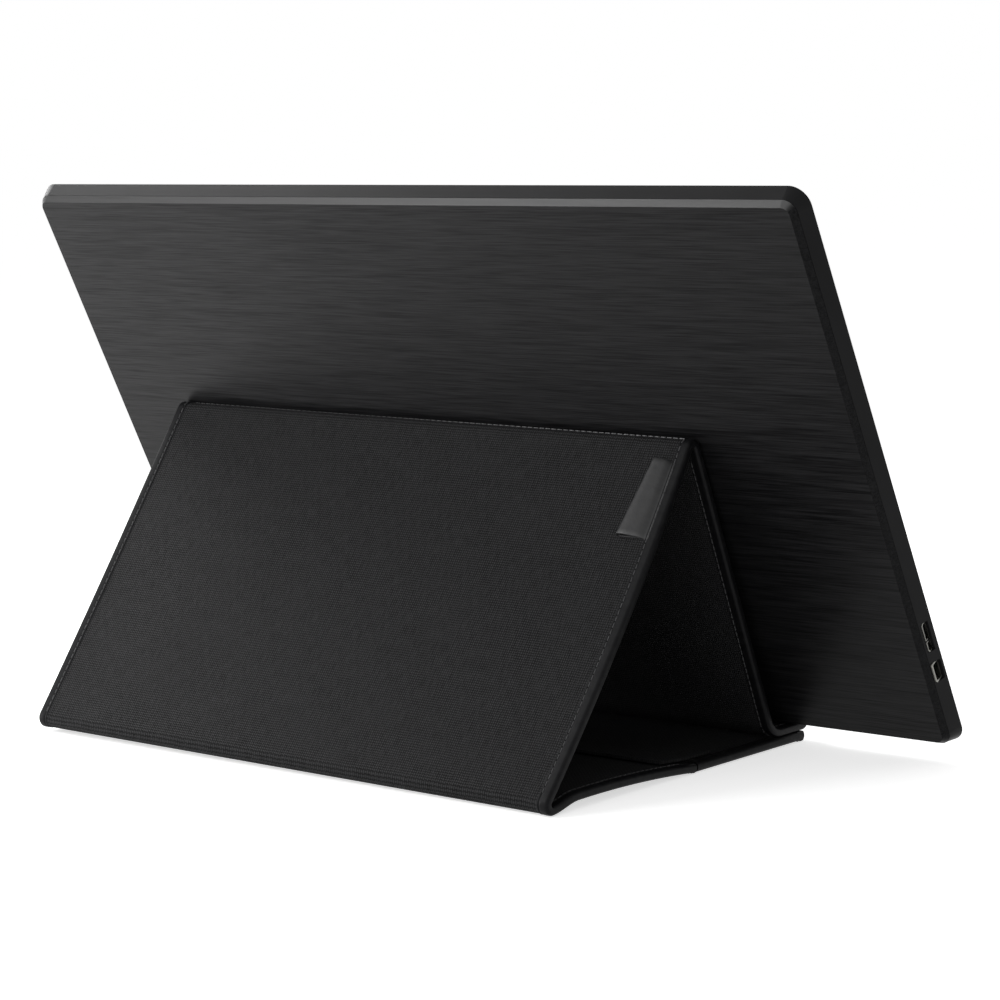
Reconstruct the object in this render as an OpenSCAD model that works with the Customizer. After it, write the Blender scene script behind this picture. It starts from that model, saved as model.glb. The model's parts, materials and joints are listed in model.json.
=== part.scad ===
// Slim portable monitor that leans on its own cover, which is folded into a
// three-sided stand. The screen faces -Y, the stand is behind it, +Z is up and
// the origin lies on the table under the middle of the whole.

/* [Monitor case] */
// Width of the bezel beside the screen
bezel_side = 19.05; // [17.5:0.05:24]
// Height of the bezel above the screen
bezel_top = 14.5; // [13:0.1:20]
// Height of the bezel below the screen
chin_h = 27.5; // [26:0.1:34]
// Thickness of the case
case_t = 8.5; // [8.3:0.1:11]
// Radius of the case's corners, seen square on
case_corner_r = 7.5; // [6.5:0.1:12]
// How far the back face stands in from the outline
back_inset = 4.3; // [3:0.1:5]
// How far the case stands in at the seam between its two shells
seam_inset = 2.4; // [1:0.1:2.8]
// Depth of the seam, from the back face
seam_depth = 2.5; // [2.2:0.1:3]
// Width of the shadow line between the two shells
seam_gap = 0.2; // [0.1:0.05:0.4]
// Small bevel round the front face
front_bevel = 0.5; // [0.2:0.1:1]
// Wall of the rear cover
rear_wall = 1.0; // [0.8:0.1:1.2]
// Wall of the front bezel over the screen
bezel_wall = 1.2; // [1:0.1:1.4]
// Thickness of the bezel's side walls at the foot
side_wall = 4.9; // [4.7:0.1:5.2]

/* [Screen] */
// Width of the visible screen
screen_w = 344.2; // [330:0.1:360]
// Height of the visible screen
screen_h = 193.5; // [180:0.1:215]
// Border of the liquid crystal cell hidden behind the bezel
cell_border = 5.5; // [4:0.1:6]
// Thickness of the liquid crystal cell
cell_t = 1.2; // [1:0.1:1.3]
// Thickness of the optical sheets
sheet_t = 0.3; // [0.2:0.05:0.4]
// Thickness of the light guide
guide_t = 1.1; // [0.8:0.1:1.2]
// Thickness of the metal tray behind the screen
tray_t = 0.3; // [0.2:0.05:0.4]
// Thickness of the foam between cell and bezel
foam_t = 0.2; // [0.1:0.05:0.3]
// Number of light emitting diodes on the strip
led_count = 24; // [12:1:36]

/* [Ports] */
// Height of the data socket's middle above the case's lower edge
socket_v = 49.9; // [46:0.1:54]
// Height of the lock slot's middle above the case's lower edge
lock_v = 34.6; // [32:0.1:36]
// Depth of both, from the back face
port_depth = 4.9; // [4.8:0.1:5.1]
// Length of the socket's mouth
socket_w = 12.4; // [12:0.1:13]
// Height of the socket's mouth
socket_t = 2.8; // [2.6:0.1:3]
// Depth of the socket's shell
socket_depth = 5.6; // [5:0.1:7]
// Length of the lock slot
lock_w = 7.0; // [6.8:0.1:7.2]
// Width of the lock slot
lock_t = 3.0; // [2.9:0.1:3.2]
// Radial play round a socket, liner, key or light pipe in the bezel
bezel_play = 0.15; // [0.1:0.05:0.25]

/* [Keys] */
// Length of a key
key_w = 7.6; // [6:0.1:8.4]
// Height of a key
key_h = 3.4; // [2.6:0.1:4.4]
// Distance between keys
key_pitch = 11; // [10:0.5:12]
// Distance of the outer key from the case's edge
key_edge = 12.2; // [11.5:0.1:14]
// Height of the keys above the case's lower edge
key_v = 13.5; // [12.5:0.1:15]
// How far a key stands out of the bezel
key_proud = 0.5; // [0.4:0.1:0.8]
// Travel of a key
key_travel = 0.4; // [0.2:0.05:0.4]

/* [Boards and fasteners] */
// Width of the main board
board_w = 95; // [85:1:110]
// Height of the main board
board_h = 54; // [50:1:60]
// Thickness of every circuit board
board_t = 0.8; // [0.6:0.1:0.9]
// Thickness of the chips
chip_t = 1.0; // [0.7:0.1:1]
// Radius of a board screw's shank
board_screw_r = 0.95; // [0.7:0.05:1]
// Radius of a tray screw's shank
tray_screw_r = 0.75; // [0.6:0.05:0.9]
// Radial play of a screw in its standoff
screw_play = 0.05; // [0.02:0.01:0.08]
// Radial play of a screw in the sheet that it holds
hole_play = 0.2; // [0.15:0.05:0.3]
// Radius of the standoffs
standoff_r = 2.2; // [1.8:0.1:2.4]

/* [Stand] */
// Lean of the monitor from upright
lean = 26.5; // [22:0.5:30]
// Width of the cover along its folds
cover_w = 265.5; // [250:0.5:285]
// How far the cover sits to the side of the monitor's middle
cover_shift = 14.75; // [5:0.25:16]
// Length of the front panel between its folds
front_len = 125; // [118:0.5:132]
// Length of the rear panel between its folds
rear_len = 146; // [142:0.5:156]
// Length of the panel that lies on the table
base_len = 86; // [78:0.5:94]
// How far the rear panel sags inwards
rear_bow = 2; // [0:0.1:2.5]
// How far the base panel arches up
base_bow = 1.5; // [0:0.1:2]
// Depth of the lip that the monitor stands on
lip_depth = 21.6; // [20:0.1:24]
// Height of the lip in front of the monitor
lip_rise = 12; // [6:0.5:14]
// Radius inside the lip's bend
lip_bend = 0.6; // [0.4:0.1:1.5]
// Thickness of the flap under the lip
flap_t = 4.0; // [3.8:0.1:5]
// How far the flap stays behind the lip's front
flap_setback = 3.2; // [2:0.1:6]
// How far the tongue laps over the base panel
tongue_lap = 16; // [12:0.5:20]
// How far the tongue is sewn on the flap
tongue_seat = 15; // [10:0.5:18]
// Thickness of the tongue
tongue_t = 1.6; // [1.4:0.1:2]
// Radius of the roll in the top fold
apex_r = 3.5; // [3.2:0.1:4.5]
// Radius of the roll in the rear fold
rear_fold_r = 4.1; // [3.8:0.1:5]
// Radius of the roll in the front fold
front_fold_r = 1.7; // [1.5:0.1:1.8]
// Play between a roll and the panels that turn round it
fold_play = 0.3; // [0.2:0.05:0.4]
// Play between the monitor and the cover
seat_play = 0.3; // [0.2:0.05:0.5]

/* [Cover make-up] */
// Thickness of the stiffening board in a panel
core_t = 1.4; // [1.2:0.1:1.8]
// Thickness of the woven cloth and of the lining
cloth_t = 0.8; // [0.6:0.1:0.9]
// How far the edge binding stands proud of the cloth
binding_proud = 0.3; // [0.2:0.05:0.4]
// Width of the edge binding
binding_w = 5; // [4:0.5:7]
// Thickness of the edge binding at the edge
binding_edge = 0.8; // [0.6:0.1:1.2]
// Radius of the magnets
magnet_r = 4; // [3:0.5:5]
// Number of magnets
magnet_count = 4; // [2:1:6]

/* [Tag] */
// Length of the leather tag along the cover's edge
tag_len = 31; // [24:0.5:36]
// How far the tag reaches in from the binding
tag_reach = 12; // [8:0.5:16]
// Height of the tag's loop
tag_rise = 4; // [3:0.1:5]
// Thickness of the tag's leather
tag_t = 1.0; // [0.8:0.1:1.3]
// Distance of the tag from the top fold
tag_drop = 13; // [8:0.5:20]

/* [Hidden] */
$fn = 48;
eps = 0.01;
bow_steps = 12;
bend_steps = 10;

case_w = screen_w + 2 * bezel_side;
case_h = chin_h + screen_h + bezel_top;

// Depths inside the case, from the back face to the front
front_depth = case_t - front_bevel;
foam_top = case_t - bezel_wall;
cell_top = foam_top - foam_t;
sheet_top = cell_top - cell_t;
guide_top = sheet_top - sheet_t;
tray_top = guide_top - guide_t;
tray_back = tray_top - tray_t;
board_top = port_depth - socket_t / 2;
board_back = board_top - board_t;
side_inset = seam_inset * (front_depth - port_depth) / (front_depth - seam_depth);
cavity_w = case_w - 2 * side_wall;
cavity_h = case_h - 2 * side_wall;
cavity_r = case_corner_r - side_wall;
cell_w = screen_w + 2 * cell_border;
cell_h = screen_h + 2 * cell_border;
screen_v = chin_h + screen_h / 2;
tray_rim = 0.4;
tray_play = 0.3;
tray_w = cell_w + 2 * (tray_rim + tray_play);
tray_h = cell_h + 2 * (tray_rim + tray_play);
tray_foot = screen_v - tray_h / 2;

// Rear cover's inner rim, which slips into the bezel
rim_t = 0.8;
rim_play = 0.2;
rim_top = 3.6;
port_side = -case_w / 2;
rim_in = cavity_w / 2 - rim_play - rim_t;

// Standoffs and screws
standoff_floor = 0.3;
screw_head_t = 0.5;
screw_head_lap = 0.7;
screw_slot = 0.3;
tray_screw_len = 2.6;
board_screw_len = 2.2;

// Main board, beside the socket
board_x = port_side + side_wall + 0.9;
board_v = lock_v - 10.6;
board_clear = 1;
board_hole = 5;
board_holes = [
    for (x = [board_x + 14, board_x + board_w - board_hole])
        for (v = [board_v + board_hole, board_v + board_h - board_hole]) [x, v]
];

// Shield can on the main board's back
can_x = board_x + 24;
can_v = board_v + 9;
can_w = 34;
can_h = 34;
can_t = 0.2;

// Socket's shell and the lock slot's liner
shell_t = 0.3;
liner_t = 0.6;
liner_flange_t = 0.8;
port_back = 0.3;
port_x = port_side + side_inset + port_back;

// Room for the diodes below the light guide, and play round the loose sheets
led_room = 3.4;
sheet_play = 0.5;

// Chips: [width, height, distance from the can or from each other]
processor_w = 18;
memory_w = 11;
memory_h = 10;
memory_gap = 4;
memory_pitch = 16;
coil_w = 4;
coil_h = 3;
coil_gap = 20;
coil_pitch = 6;

// Driver board under the screen, with its chips and the pads that it rests on
driver_w = 200;
driver_h = 10;
driver_lap = 20;
driver_x = board_x + board_w - driver_lap;
driver_v = tray_foot - driver_h - 3;
driver_chips = 4;
driver_chip_w = 12;
driver_chip_h = 4;
pad_w = 6;
pad_h = 5;

// Ears of the tray and their screws: [x, height, turn of the ear]
ear_w = 8;
ear_lap = 0.6;
ear_x = (tray_w / 2 + rim_in) / 2;
ear_reach = ear_x - tray_w / 2 + ear_lap;
ear_foot = tray_foot - ear_reach + ear_lap;
ears = [
    [-ear_x, case_h * 0.38, 90], [-ear_x, case_h * 0.76, 90],
    [ear_x, case_h * 0.38, 90], [ear_x, case_h * 0.76, 90],
    [driver_x - 4 * ear_w, ear_foot, 0], [driver_x + driver_w + 4 * ear_w, ear_foot, 0]
];

// Keys' board, which hangs a little below the row of keys
key_board_top = case_t - 3.3;
key_board_side = 1.5;
key_board_w = 2 * key_pitch + key_w + 8;
key_board_h = 10;
key_board_v = key_v - 6.5;
key_x = case_w / 2 - key_edge;
key_flange = 0.8;
key_flange_t = 0.5;
key_slack = 0.1;
flange_top = foam_top - key_slack;
switch_top = flange_top - key_flange_t - key_travel - key_slack / 2;
key_round = 1.0;
light_x = key_x - 2 * key_pitch - key_w / 2 - 3;
light_r = 0.75;
cable_v = tray_foot + 0.4;
cable_h = 4;
cable_t = 0.2;
cable_lead = 12;
cable_end = 6;
plug_w = 5;
plug_lap = 3;

// Cover: distances across its thickness
cloth_half = core_t / 2 + cloth_t;
bind_half = cloth_half + binding_proud;
cover_x0 = cover_shift - cover_w / 2;
cover_x1 = cover_shift + cover_w / 2;
lining_x0 = cover_x0 + binding_edge;
lining_x1 = cover_x1 - binding_edge;

// The stand's cross-section is drawn as [y, z], with the front fold at y = 0
function unit(v) = v / norm(v);
function inward(v) = [v[1], -v[0]];
function dot(a, b) = a[0] * b[0] + a[1] * b[1];
up_screen = [sin(lean), cos(lean)];
to_viewer = [-cos(lean), sin(lean)];
front_fold = [0, flap_t + bind_half];
bend_r = lip_bend + bind_half;
bend_mid = [-lip_depth, front_fold[1] + bend_r];

// Lower back corner of the monitor, from the lip's floor and its upright wall
seat_z = front_fold[1] + bind_half + seat_play
    - seam_inset * up_screen[1] - seam_depth * up_screen[0];
seat_y = (up_screen[0] * seat_z
    - (dot(to_viewer, bend_mid) + lip_bend - seat_play - case_t)) / up_screen[1];
seat = [seat_y, seat_z];

// Top fold: on the monitor's back, and one front panel away from the front fold
apex_from = seat - (apex_r + seat_play) * to_viewer - front_fold;
apex_run = -dot(apex_from, up_screen)
    + sqrt(pow(dot(apex_from, up_screen), 2) - dot(apex_from, apex_from) + front_len * front_len);
apex = front_fold + apex_from + apex_run * up_screen;
rear_fold = [apex[0] + sqrt(rear_len * rear_len - pow(apex[1] - rear_fold_r, 2)), rear_fold_r];
base_end = [rear_fold[0] - sqrt(base_len * base_len - pow(rear_fold_r - bind_half, 2)), bind_half];

// Panels stop short of each fold, so that they clear the roll and each other
function turn(a, b) = acos(dot(unit(a), unit(b)));
function bow_turn(bow, len) = atan(4 * bow / len);
apex_turn = turn(front_fold - apex, rear_fold - apex) - bow_turn(rear_bow, rear_len);
rear_turn = turn(apex - rear_fold, base_end - rear_fold)
    - bow_turn(rear_bow, rear_len) - bow_turn(base_bow, base_len);
apex_cut = max(apex_r, bind_half / tan(apex_turn / 2)) + fold_play;
rear_cut = max(rear_fold_r, bind_half / tan(rear_turn / 2)) + fold_play;
front_cut = front_fold_r + fold_play;

// The flap ends just before the base panel's edge, and the tongue bridges them
flap_front = bend_mid[0] - bend_r - bind_half + flap_setback;
flap_rear = base_end[0] - 2 * fold_play;
flap_round = flap_t / 2;
core_inset = 4;
tongue_heel = [flap_rear, flap_t];
tongue_tip = panel_point(rear_fold, base_end, base_bow, 1 - tongue_lap / base_len,
    bind_half + fold_play);
tongue_run = tongue_tip - tongue_heel;

// Magnets in the base panel's board, and keeper plates in the tongue over them
magnet_back = tongue_lap / 2;
magnet_play = 0.1;
keeper_t = 0.6;
keeper_w = 24;
keeper_len = 9;

// Shift that puts the origin under the middle of the whole
y_front = bend_mid[0] - bend_r - bind_half;
y_rear = rear_fold[0] + rear_fold_r;
y_mid = (y_front + y_rear) / 2;

cloth_col = [0.19, 0.19, 0.20];
lining_col = [0.10, 0.10, 0.11];
binding_col = [0.25, 0.25, 0.26];
case_col = [0.13, 0.13, 0.14];
board_col = [0.07, 0.28, 0.16];
steel_col = [0.72, 0.72, 0.73];

// ---- shared shapes ----

// Plate with rounded corners; profile lists [inset, height] from bottom to top
module tapered_plate(w, h, r, profile) {
    last = len(profile) - 1;
    function outline(half) = concat(
        [for (p = profile) [half - p[0], p[1]]],
        [for (i = [last : -1 : 0]) [profile[i][0] - half, profile[i][1]]]);
    rotate([90, 0, 0]) linear_extrude(h - 2 * r, center = true) polygon(outline(w / 2));
    rotate([90, 0, 90]) linear_extrude(w - 2 * r, center = true) polygon(outline(h / 2));
    for (sx = [-1, 1]) for (sy = [-1, 1])
        translate([sx * (w / 2 - r), sy * (h / 2 - r), 0])
            rotate_extrude() polygon(concat(
                [[0, profile[0][1]]],
                [for (p = profile) [r - p[0], p[1]]],
                [[0, profile[last][1]]]));
}

module round_rect(w, h, r) {
    square([w - 2 * r, h], center = true);
    square([w, h - 2 * r], center = true);
    for (sx = [-1, 1]) for (sy = [-1, 1])
        translate([sx * (w / 2 - r), sy * (h / 2 - r)]) circle(r);
}

module slab(w, h, r, z0, z1) {
    translate([0, 0, z0]) linear_extrude(z1 - z0) round_rect(w, h, r);
}

// Block between two corners
module block(a, b) {
    translate(a) cube(b - a);
}

// Extrudes a [y, z] outline from one x to another
module across(x0, x1) {
    translate([x0, 0, 0]) rotate([90, 0, 90]) linear_extrude(x1 - x0) children();
}

// Places what is drawn as x, height up the screen and depth from the back face
module in_case() {
    translate([0, seat[0] - y_mid, seat[1]]) rotate([90 - lean, 0, 0]) children();
}

// Places what is drawn in the stand's cross-section
module in_stand() {
    translate([0, -y_mid, 0]) children();
}

module standoff(x, v, top, bore) {
    translate([x, v, rear_wall - eps]) difference() {
        cylinder(r = standoff_r, h = top - rear_wall + eps);
        translate([0, 0, standoff_floor]) cylinder(r = bore, h = top);
    }
}

module screw(shank_r, length) {
    translate([0, 0, -length]) cylinder(r = shank_r, h = length + eps);
    difference() {
        cylinder(r = shank_r + screw_head_lap, h = screw_head_t);
        for (size = [[screw_slot, 2 * shank_r], [2 * shank_r, screw_slot]])
            translate([0, 0, screw_head_t]) cube([size[0], size[1], screw_head_t], center = true);
    }
}

// ---- monitor ----

// Outline of the data socket: a wide lobe with cut corners and a narrow one
module socket_outline(grow) {
    wide = socket_w * 0.58;
    narrow = socket_w * 0.36;
    cut = 0.7;
    h = socket_t / 2 + grow;
    translate([socket_w / 2 - wide, 0]) polygon([
        [-grow, -h], [wide + grow - cut, -h], [wide + grow, cut - h],
        [wide + grow, h], [-grow, h]]);
    translate([-socket_w / 2, 0]) polygon([
        [-grow, cut - h], [cut - grow, -h], [narrow + grow, -h],
        [narrow + grow, h], [-grow, h]]);
    translate([-socket_w / 2 + narrow + grow - eps, 0])
        square([socket_w - wide - narrow - 2 * grow + 2 * eps, h]);
}

module slot_outline(grow) {
    round_rect(lock_w + 2 * grow, lock_t + 2 * grow, 0.8);
}

module at_port(v, x) {
    translate([x, v, port_depth]) rotate([90, 0, 90]) children();
}

module port_openings() {
    at_port(socket_v, port_side - 1) linear_extrude(side_wall + 2) socket_outline(bezel_play);
    at_port(lock_v, port_side - 1) linear_extrude(side_wall + 2)
        slot_outline(liner_t + bezel_play);
}

module rear_cover() color(case_col) in_case() {
    rim_out = 2 * (side_wall + rim_play);
    translate([0, case_h / 2, 0]) difference() {
        union() {
            tapered_plate(case_w, case_h, case_corner_r,
                [[back_inset, 0], [seam_inset, seam_depth - seam_gap]]);
            slab(case_w - rim_out, case_h - rim_out, cavity_r - rim_play, rear_wall, rim_top);
        }
        slab(case_w - rim_out - 2 * rim_t, case_h - rim_out - 2 * rim_t,
            cavity_r - rim_play - rim_t, rear_wall, rim_top + 1);
        block([port_side, board_v - board_clear - case_h / 2, seam_depth - seam_gap],
            [board_x + board_clear, board_v + board_h + board_clear - case_h / 2, rim_top + 1]);
    }
    for (e = ears) standoff(e[0], e[1], tray_back, tray_screw_r + screw_play);
    for (h = board_holes) standoff(h[0], h[1], board_back, board_screw_r + screw_play);
    for (i = [1 : driver_chips - 1])
        translate([driver_x + i * driver_w / driver_chips - pad_w / 2,
            driver_v + (driver_h - pad_h) / 2, rear_wall - eps])
            cube([pad_w, pad_h, tray_back - rear_wall + eps]);
    for (x = [light_x, key_x])
        translate([x - pad_w / 2, key_board_v + 1, rear_wall - eps])
            cube([pad_w, pad_h, key_board_top - board_t - rear_wall + eps]);
}

module front_bezel() color(case_col * 0.8) in_case() difference() {
    translate([0, case_h / 2, 0]) difference() {
        tapered_plate(case_w, case_h, case_corner_r,
            [[seam_inset, seam_depth], [0, front_depth], [front_bevel, case_t]]);
        slab(cavity_w, cavity_h, cavity_r, seam_depth - 1, foam_top);
    }
    translate([-screen_w / 2, chin_h, foam_top - 1]) cube([screen_w, screen_h, bezel_wall + 2]);
    port_openings();
    for (i = [0 : 2])
        translate([key_x - i * key_pitch, key_v, 0])
            slab(key_w + 2 * bezel_play, key_h + 2 * bezel_play, key_round + bezel_play,
                foam_top - 1, case_t + 1);
    translate([light_x, key_v, foam_top - 1]) cylinder(r = light_r + bezel_play / 2, h = 3);
}

module lcd_cell() color([0.03, 0.03, 0.04]) in_case()
    translate([0, screen_v, 0]) slab(cell_w, cell_h, 0.5, sheet_top, cell_top);

module foam_gasket() color([0.05, 0.05, 0.05]) in_case() translate([0, screen_v, 0])
    difference() {
        slab(cell_w, cell_h, 0.5, cell_top, foam_top);
        slab(screen_w + 2, screen_h + 2, 0.5, cell_top - 1, foam_top + 1);
    }

module optical_sheets() color([0.92, 0.92, 0.90]) in_case() translate([0, screen_v, 0])
    slab(cell_w - 2 * sheet_play, cell_h - 2 * sheet_play, 0.5, guide_top, sheet_top);

module light_guide() color([0.85, 0.90, 0.92]) in_case()
    translate([0, screen_v + led_room / 2, 0])
        slab(cell_w - 2 * sheet_play, cell_h - 2 * sheet_play - led_room, 0.5, tray_top, guide_top);

module led_strip() color([0.90, 0.88, 0.75]) in_case() {
    strip_w = cell_w - 12;
    foot = screen_v - cell_h / 2;
    block([-strip_w / 2, foot, tray_top], [strip_w / 2, foot + 0.6, guide_top]);
    pitch = strip_w / led_count;
    for (i = [0 : led_count - 1])
        translate([-strip_w / 2 + (i + 0.5) * pitch - 1.7, foot + 0.6 - eps, tray_top])
            cube([3.4, led_room - 0.4, guide_t - 0.2]);
}

module panel_tray() color(steel_col) in_case() difference() {
    union() {
        translate([0, screen_v, 0]) difference() {
            slab(tray_w, tray_h, 1, tray_back, cell_top - 0.3);
            slab(tray_w - 2 * tray_rim, tray_h - 2 * tray_rim, 0.6, tray_top, cell_top);
        }
        for (e = ears)
            translate([e[0], e[1], (tray_back + tray_top) / 2]) rotate([0, 0, e[2]])
                cube([ear_w, 2 * ear_reach, tray_t], center = true);
    }
    for (e = ears)
        translate([e[0], e[1], tray_back - 1]) cylinder(r = tray_screw_r + hole_play, h = 3);
}

module tray_screws() color(steel_col * 0.8) in_case()
    for (e = ears) translate([e[0], e[1], tray_top]) screw(tray_screw_r, tray_screw_len);

module driver_board() color(board_col) in_case() {
    block([driver_x, driver_v, tray_back], [driver_x + driver_w, driver_v + driver_h, tray_back + board_t]);
    for (i = [0 : driver_chips - 1])
        translate([driver_x + (i + 0.5) * driver_w / driver_chips - driver_chip_w / 2,
            driver_v + (driver_h - driver_chip_h) / 2, tray_back + board_t - eps])
            cube([driver_chip_w, driver_chip_h, chip_t]);
}

module main_board() color(board_col) in_case() difference() {
    block([board_x, board_v, board_back], [board_x + board_w, board_v + board_h, board_top]);
    for (h = board_holes)
        translate([h[0], h[1], board_back - 1]) cylinder(r = board_screw_r + hole_play, h = 3);
}

module board_screws() color(steel_col) in_case()
    for (h = board_holes) translate([h[0], h[1], board_top]) screw(board_screw_r, board_screw_len);

module board_chips() color([0.08, 0.08, 0.09]) in_case() {
    right = can_x + can_w;
    translate([can_x + (can_w - processor_w) / 2, can_v + (can_h - processor_w) / 2,
        board_back - chip_t]) cube([processor_w, processor_w, chip_t]);
    for (i = [0 : 1])
        translate([right + memory_gap, can_v + memory_gap + i * memory_pitch, board_back - chip_t])
            cube([memory_w, memory_h, chip_t]);
    for (i = [0 : 4])
        translate([right + coil_gap, can_v + i * coil_pitch, board_back - chip_t * 0.7])
            cube([coil_w, coil_h, chip_t * 0.7]);
}

module shield_can() color(steel_col) in_case() {
    floor_z = board_back - chip_t - can_t - 0.1;
    difference() {
        block([can_x, can_v, floor_z], [can_x + can_w, can_v + can_h, board_back]);
        block([can_x + can_t, can_v + can_t, floor_z + can_t],
            [can_x + can_w - can_t, can_v + can_h - can_t, board_back + 1]);
    }
}

module usb_receptacle() color([0.78, 0.75, 0.66]) in_case()
    at_port(socket_v, port_x) linear_extrude(socket_depth) difference() {
        socket_outline(0);
        socket_outline(-shell_t);
    }

module usb_tongue() color([0.12, 0.12, 0.12]) in_case() at_port(socket_v, port_x) {
    block_depth = 1.8;
    translate([0, 0, socket_depth - block_depth]) linear_extrude(block_depth)
        socket_outline(-shell_t - 0.05);
    for (part = [[socket_w * 0.21, socket_w * 0.40], [-socket_w * 0.32, socket_w * 0.22]])
        translate([part[0] - part[1] / 2, -0.2, 0.8]) cube([part[1], 0.6, socket_depth - 1.2]);
}

module lock_slot_liner() color(steel_col) in_case() {
    inner = port_side + side_wall;
    at_port(lock_v, port_x) linear_extrude(inner + liner_flange_t - port_x) difference() {
        slot_outline(liner_t);
        slot_outline(0);
    }
    at_port(lock_v, inner) linear_extrude(liner_flange_t) difference() {
        square([lock_w + 4, lock_t + 1.6], center = true);
        slot_outline(0);
    }
}

module panel_cable() color([0.55, 0.36, 0.16]) in_case()
    across(driver_x + 1, driver_x + 12) polygon([
        [board_v + 10, board_top], [board_v + 10, board_top + cable_t],
        [tray_foot - 1.5, board_top + cable_t], [driver_v + driver_h - 1, tray_back],
        [driver_v + 3, tray_back], [driver_v + 3, tray_back - cable_t],
        [driver_v + driver_h - 1.3, tray_back - cable_t], [tray_foot - 1.8, board_top]]);

module button_board() color(board_col) in_case()
    translate([key_x + key_w / 2 + key_board_side - key_board_w, key_board_v,
        key_board_top - board_t]) cube([key_board_w, key_board_h, board_t]);

module key_switches() color([0.75, 0.75, 0.72]) in_case() for (i = [0 : 2])
    translate([key_x - i * key_pitch, key_v, key_board_top]) {
        translate([-2, -1.6, 0]) cube([4, 3.2, 0.8]);
        cylinder(r = 0.8, h = switch_top - key_board_top);
    }

module button_cable() color([0.55, 0.36, 0.16]) in_case() {
    left = board_x + board_w - cable_lead;
    right = key_x - cable_end;
    plug_v = key_board_v + key_board_h - plug_lap;
    block([left, cable_v, rear_wall], [right, cable_v + cable_h, rear_wall + cable_t]);
    block([left, cable_v, rear_wall + cable_t - eps],
        [left + plug_w, board_v + plug_lap, board_back]);
    block([right - plug_w, plug_v, rear_wall], [right, cable_v + cable_h, rear_wall + cable_t]);
    block([right - plug_w, plug_v, rear_wall + cable_t - eps],
        [right, plug_v + plug_lap, key_board_top - board_t]);
}

module power_light() color([0.75, 0.85, 0.95]) in_case()
    translate([light_x, key_v, key_board_top]) cylinder(r = light_r, h = case_t - key_board_top);

// Key with a flange behind the bezel; index counts from the outer edge
module push_key(index) color([0.16, 0.16, 0.17]) in_case()
    translate([key_x - index * key_pitch, key_v, 0]) {
        slab(key_w, key_h, key_round, flange_top - key_flange_t, case_t + key_proud);
        slab(key_w + 2 * key_flange, key_h + 2 * key_flange, key_round,
            flange_top - key_flange_t, flange_top);
    }

module power_button() push_key(0);
module brighter_button() push_key(1);
module dimmer_button() push_key(2);

// ---- cover ----

// Point of a bowed panel: t runs from p to q, e is the distance inwards
function panel_point(p, q, bow, t, e) =
    p + (q - p) * t + (4 * bow * t * (1 - t) + e) * inward(unit(q - p));

// One layer of a panel between the distances e0 and e1 from its middle
module layer(p, q, bow, cut_p, cut_q, e0, e1) {
    t0 = cut_p / norm(q - p);
    t1 = 1 - cut_q / norm(q - p);
    steps = bow == 0 ? 1 : bow_steps;
    polygon(concat(
        [for (i = [0 : steps]) panel_point(p, q, bow, t0 + (t1 - t0) * i / steps, e0)],
        [for (i = [steps : -1 : 0]) panel_point(p, q, bow, t0 + (t1 - t0) * i / steps, e1)]));
}

// The three panels: [start, end, bow, cut at start, cut at end]
front_panel = [front_fold, apex, 0, front_cut, apex_cut];
rear_panel = [apex, rear_fold, rear_bow, apex_cut, rear_cut];
base_panel = [rear_fold, base_end, base_bow, rear_cut, binding_edge];

module panel_layer(p, e0, e1) {
    in_stand() across(lining_x0, lining_x1) layer(p[0], p[1], p[2], p[3], p[4], e0, e1);
}

module panel_cloth(p) panel_layer(p, -cloth_half, -core_t / 2);
module panel_core(p) panel_layer(p, -core_t / 2, core_t / 2);
module panel_lining(p) panel_layer(p, core_t / 2, cloth_half);

// Folded edging on both ends of a panel, open towards the panel's middle
module panel_bindings(p, cut_q) {
    in_stand() difference() {
        for (x = [cover_x0, cover_x1 - binding_w]) across(x, x + binding_w)
            layer(p[0], p[1], p[2], p[3], cut_q, -bind_half, bind_half);
        across(lining_x0, lining_x1)
            layer(p[0], p[1], p[2], p[3] - 1, p[4] == cut_q ? cut_q - 1 : p[4], -cloth_half, cloth_half);
    }
}

module fold_roll(at, r) {
    in_stand() translate([cover_x0, at[0], at[1]]) rotate([0, 90, 0]) cylinder(r = r, h = cover_w);
}

module front_panel_cloth() color(cloth_col) panel_cloth(front_panel);
module front_panel_board() color([0.45, 0.42, 0.36]) panel_core(front_panel);
module front_panel_lining() color(lining_col) panel_lining(front_panel);
module front_panel_bindings() color(binding_col) panel_bindings(front_panel, apex_cut);
module rear_panel_cloth() color(cloth_col) panel_cloth(rear_panel);
module rear_panel_board() color([0.45, 0.42, 0.36]) panel_core(rear_panel);
module rear_panel_lining() color(lining_col) panel_lining(rear_panel);
module rear_panel_bindings() color(binding_col) panel_bindings(rear_panel, rear_cut);
module base_panel_cloth() color(cloth_col) panel_cloth(base_panel);
module base_panel_lining() color(lining_col) panel_lining(base_panel);
module front_fold_roll() color(cloth_col) fold_roll(front_fold, front_fold_r);
module top_fold_roll() color(cloth_col) fold_roll(apex, apex_r);
module rear_fold_roll() color(cloth_col) fold_roll(rear_fold, rear_fold_r);

// Places for magnets and keepers along the cover's width
function magnet_x(i) = cover_x0 + cover_w * (i + 0.5) / magnet_count;

// Puts discs into the base panel's board, square to it where they lie
module at_magnets() {
    t = 1 - magnet_back / base_len;
    at = panel_point(rear_fold, base_end, base_bow, t, 0);
    slope = (base_end - rear_fold) / base_len + 4 * base_bow * (1 - 2 * t) / base_len * [0, 1];
    in_stand() for (i = [0 : magnet_count - 1])
        translate([magnet_x(i), at[0], at[1]]) rotate([atan2(slope[1], slope[0]) + 180, 0, 0])
            children();
}

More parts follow.
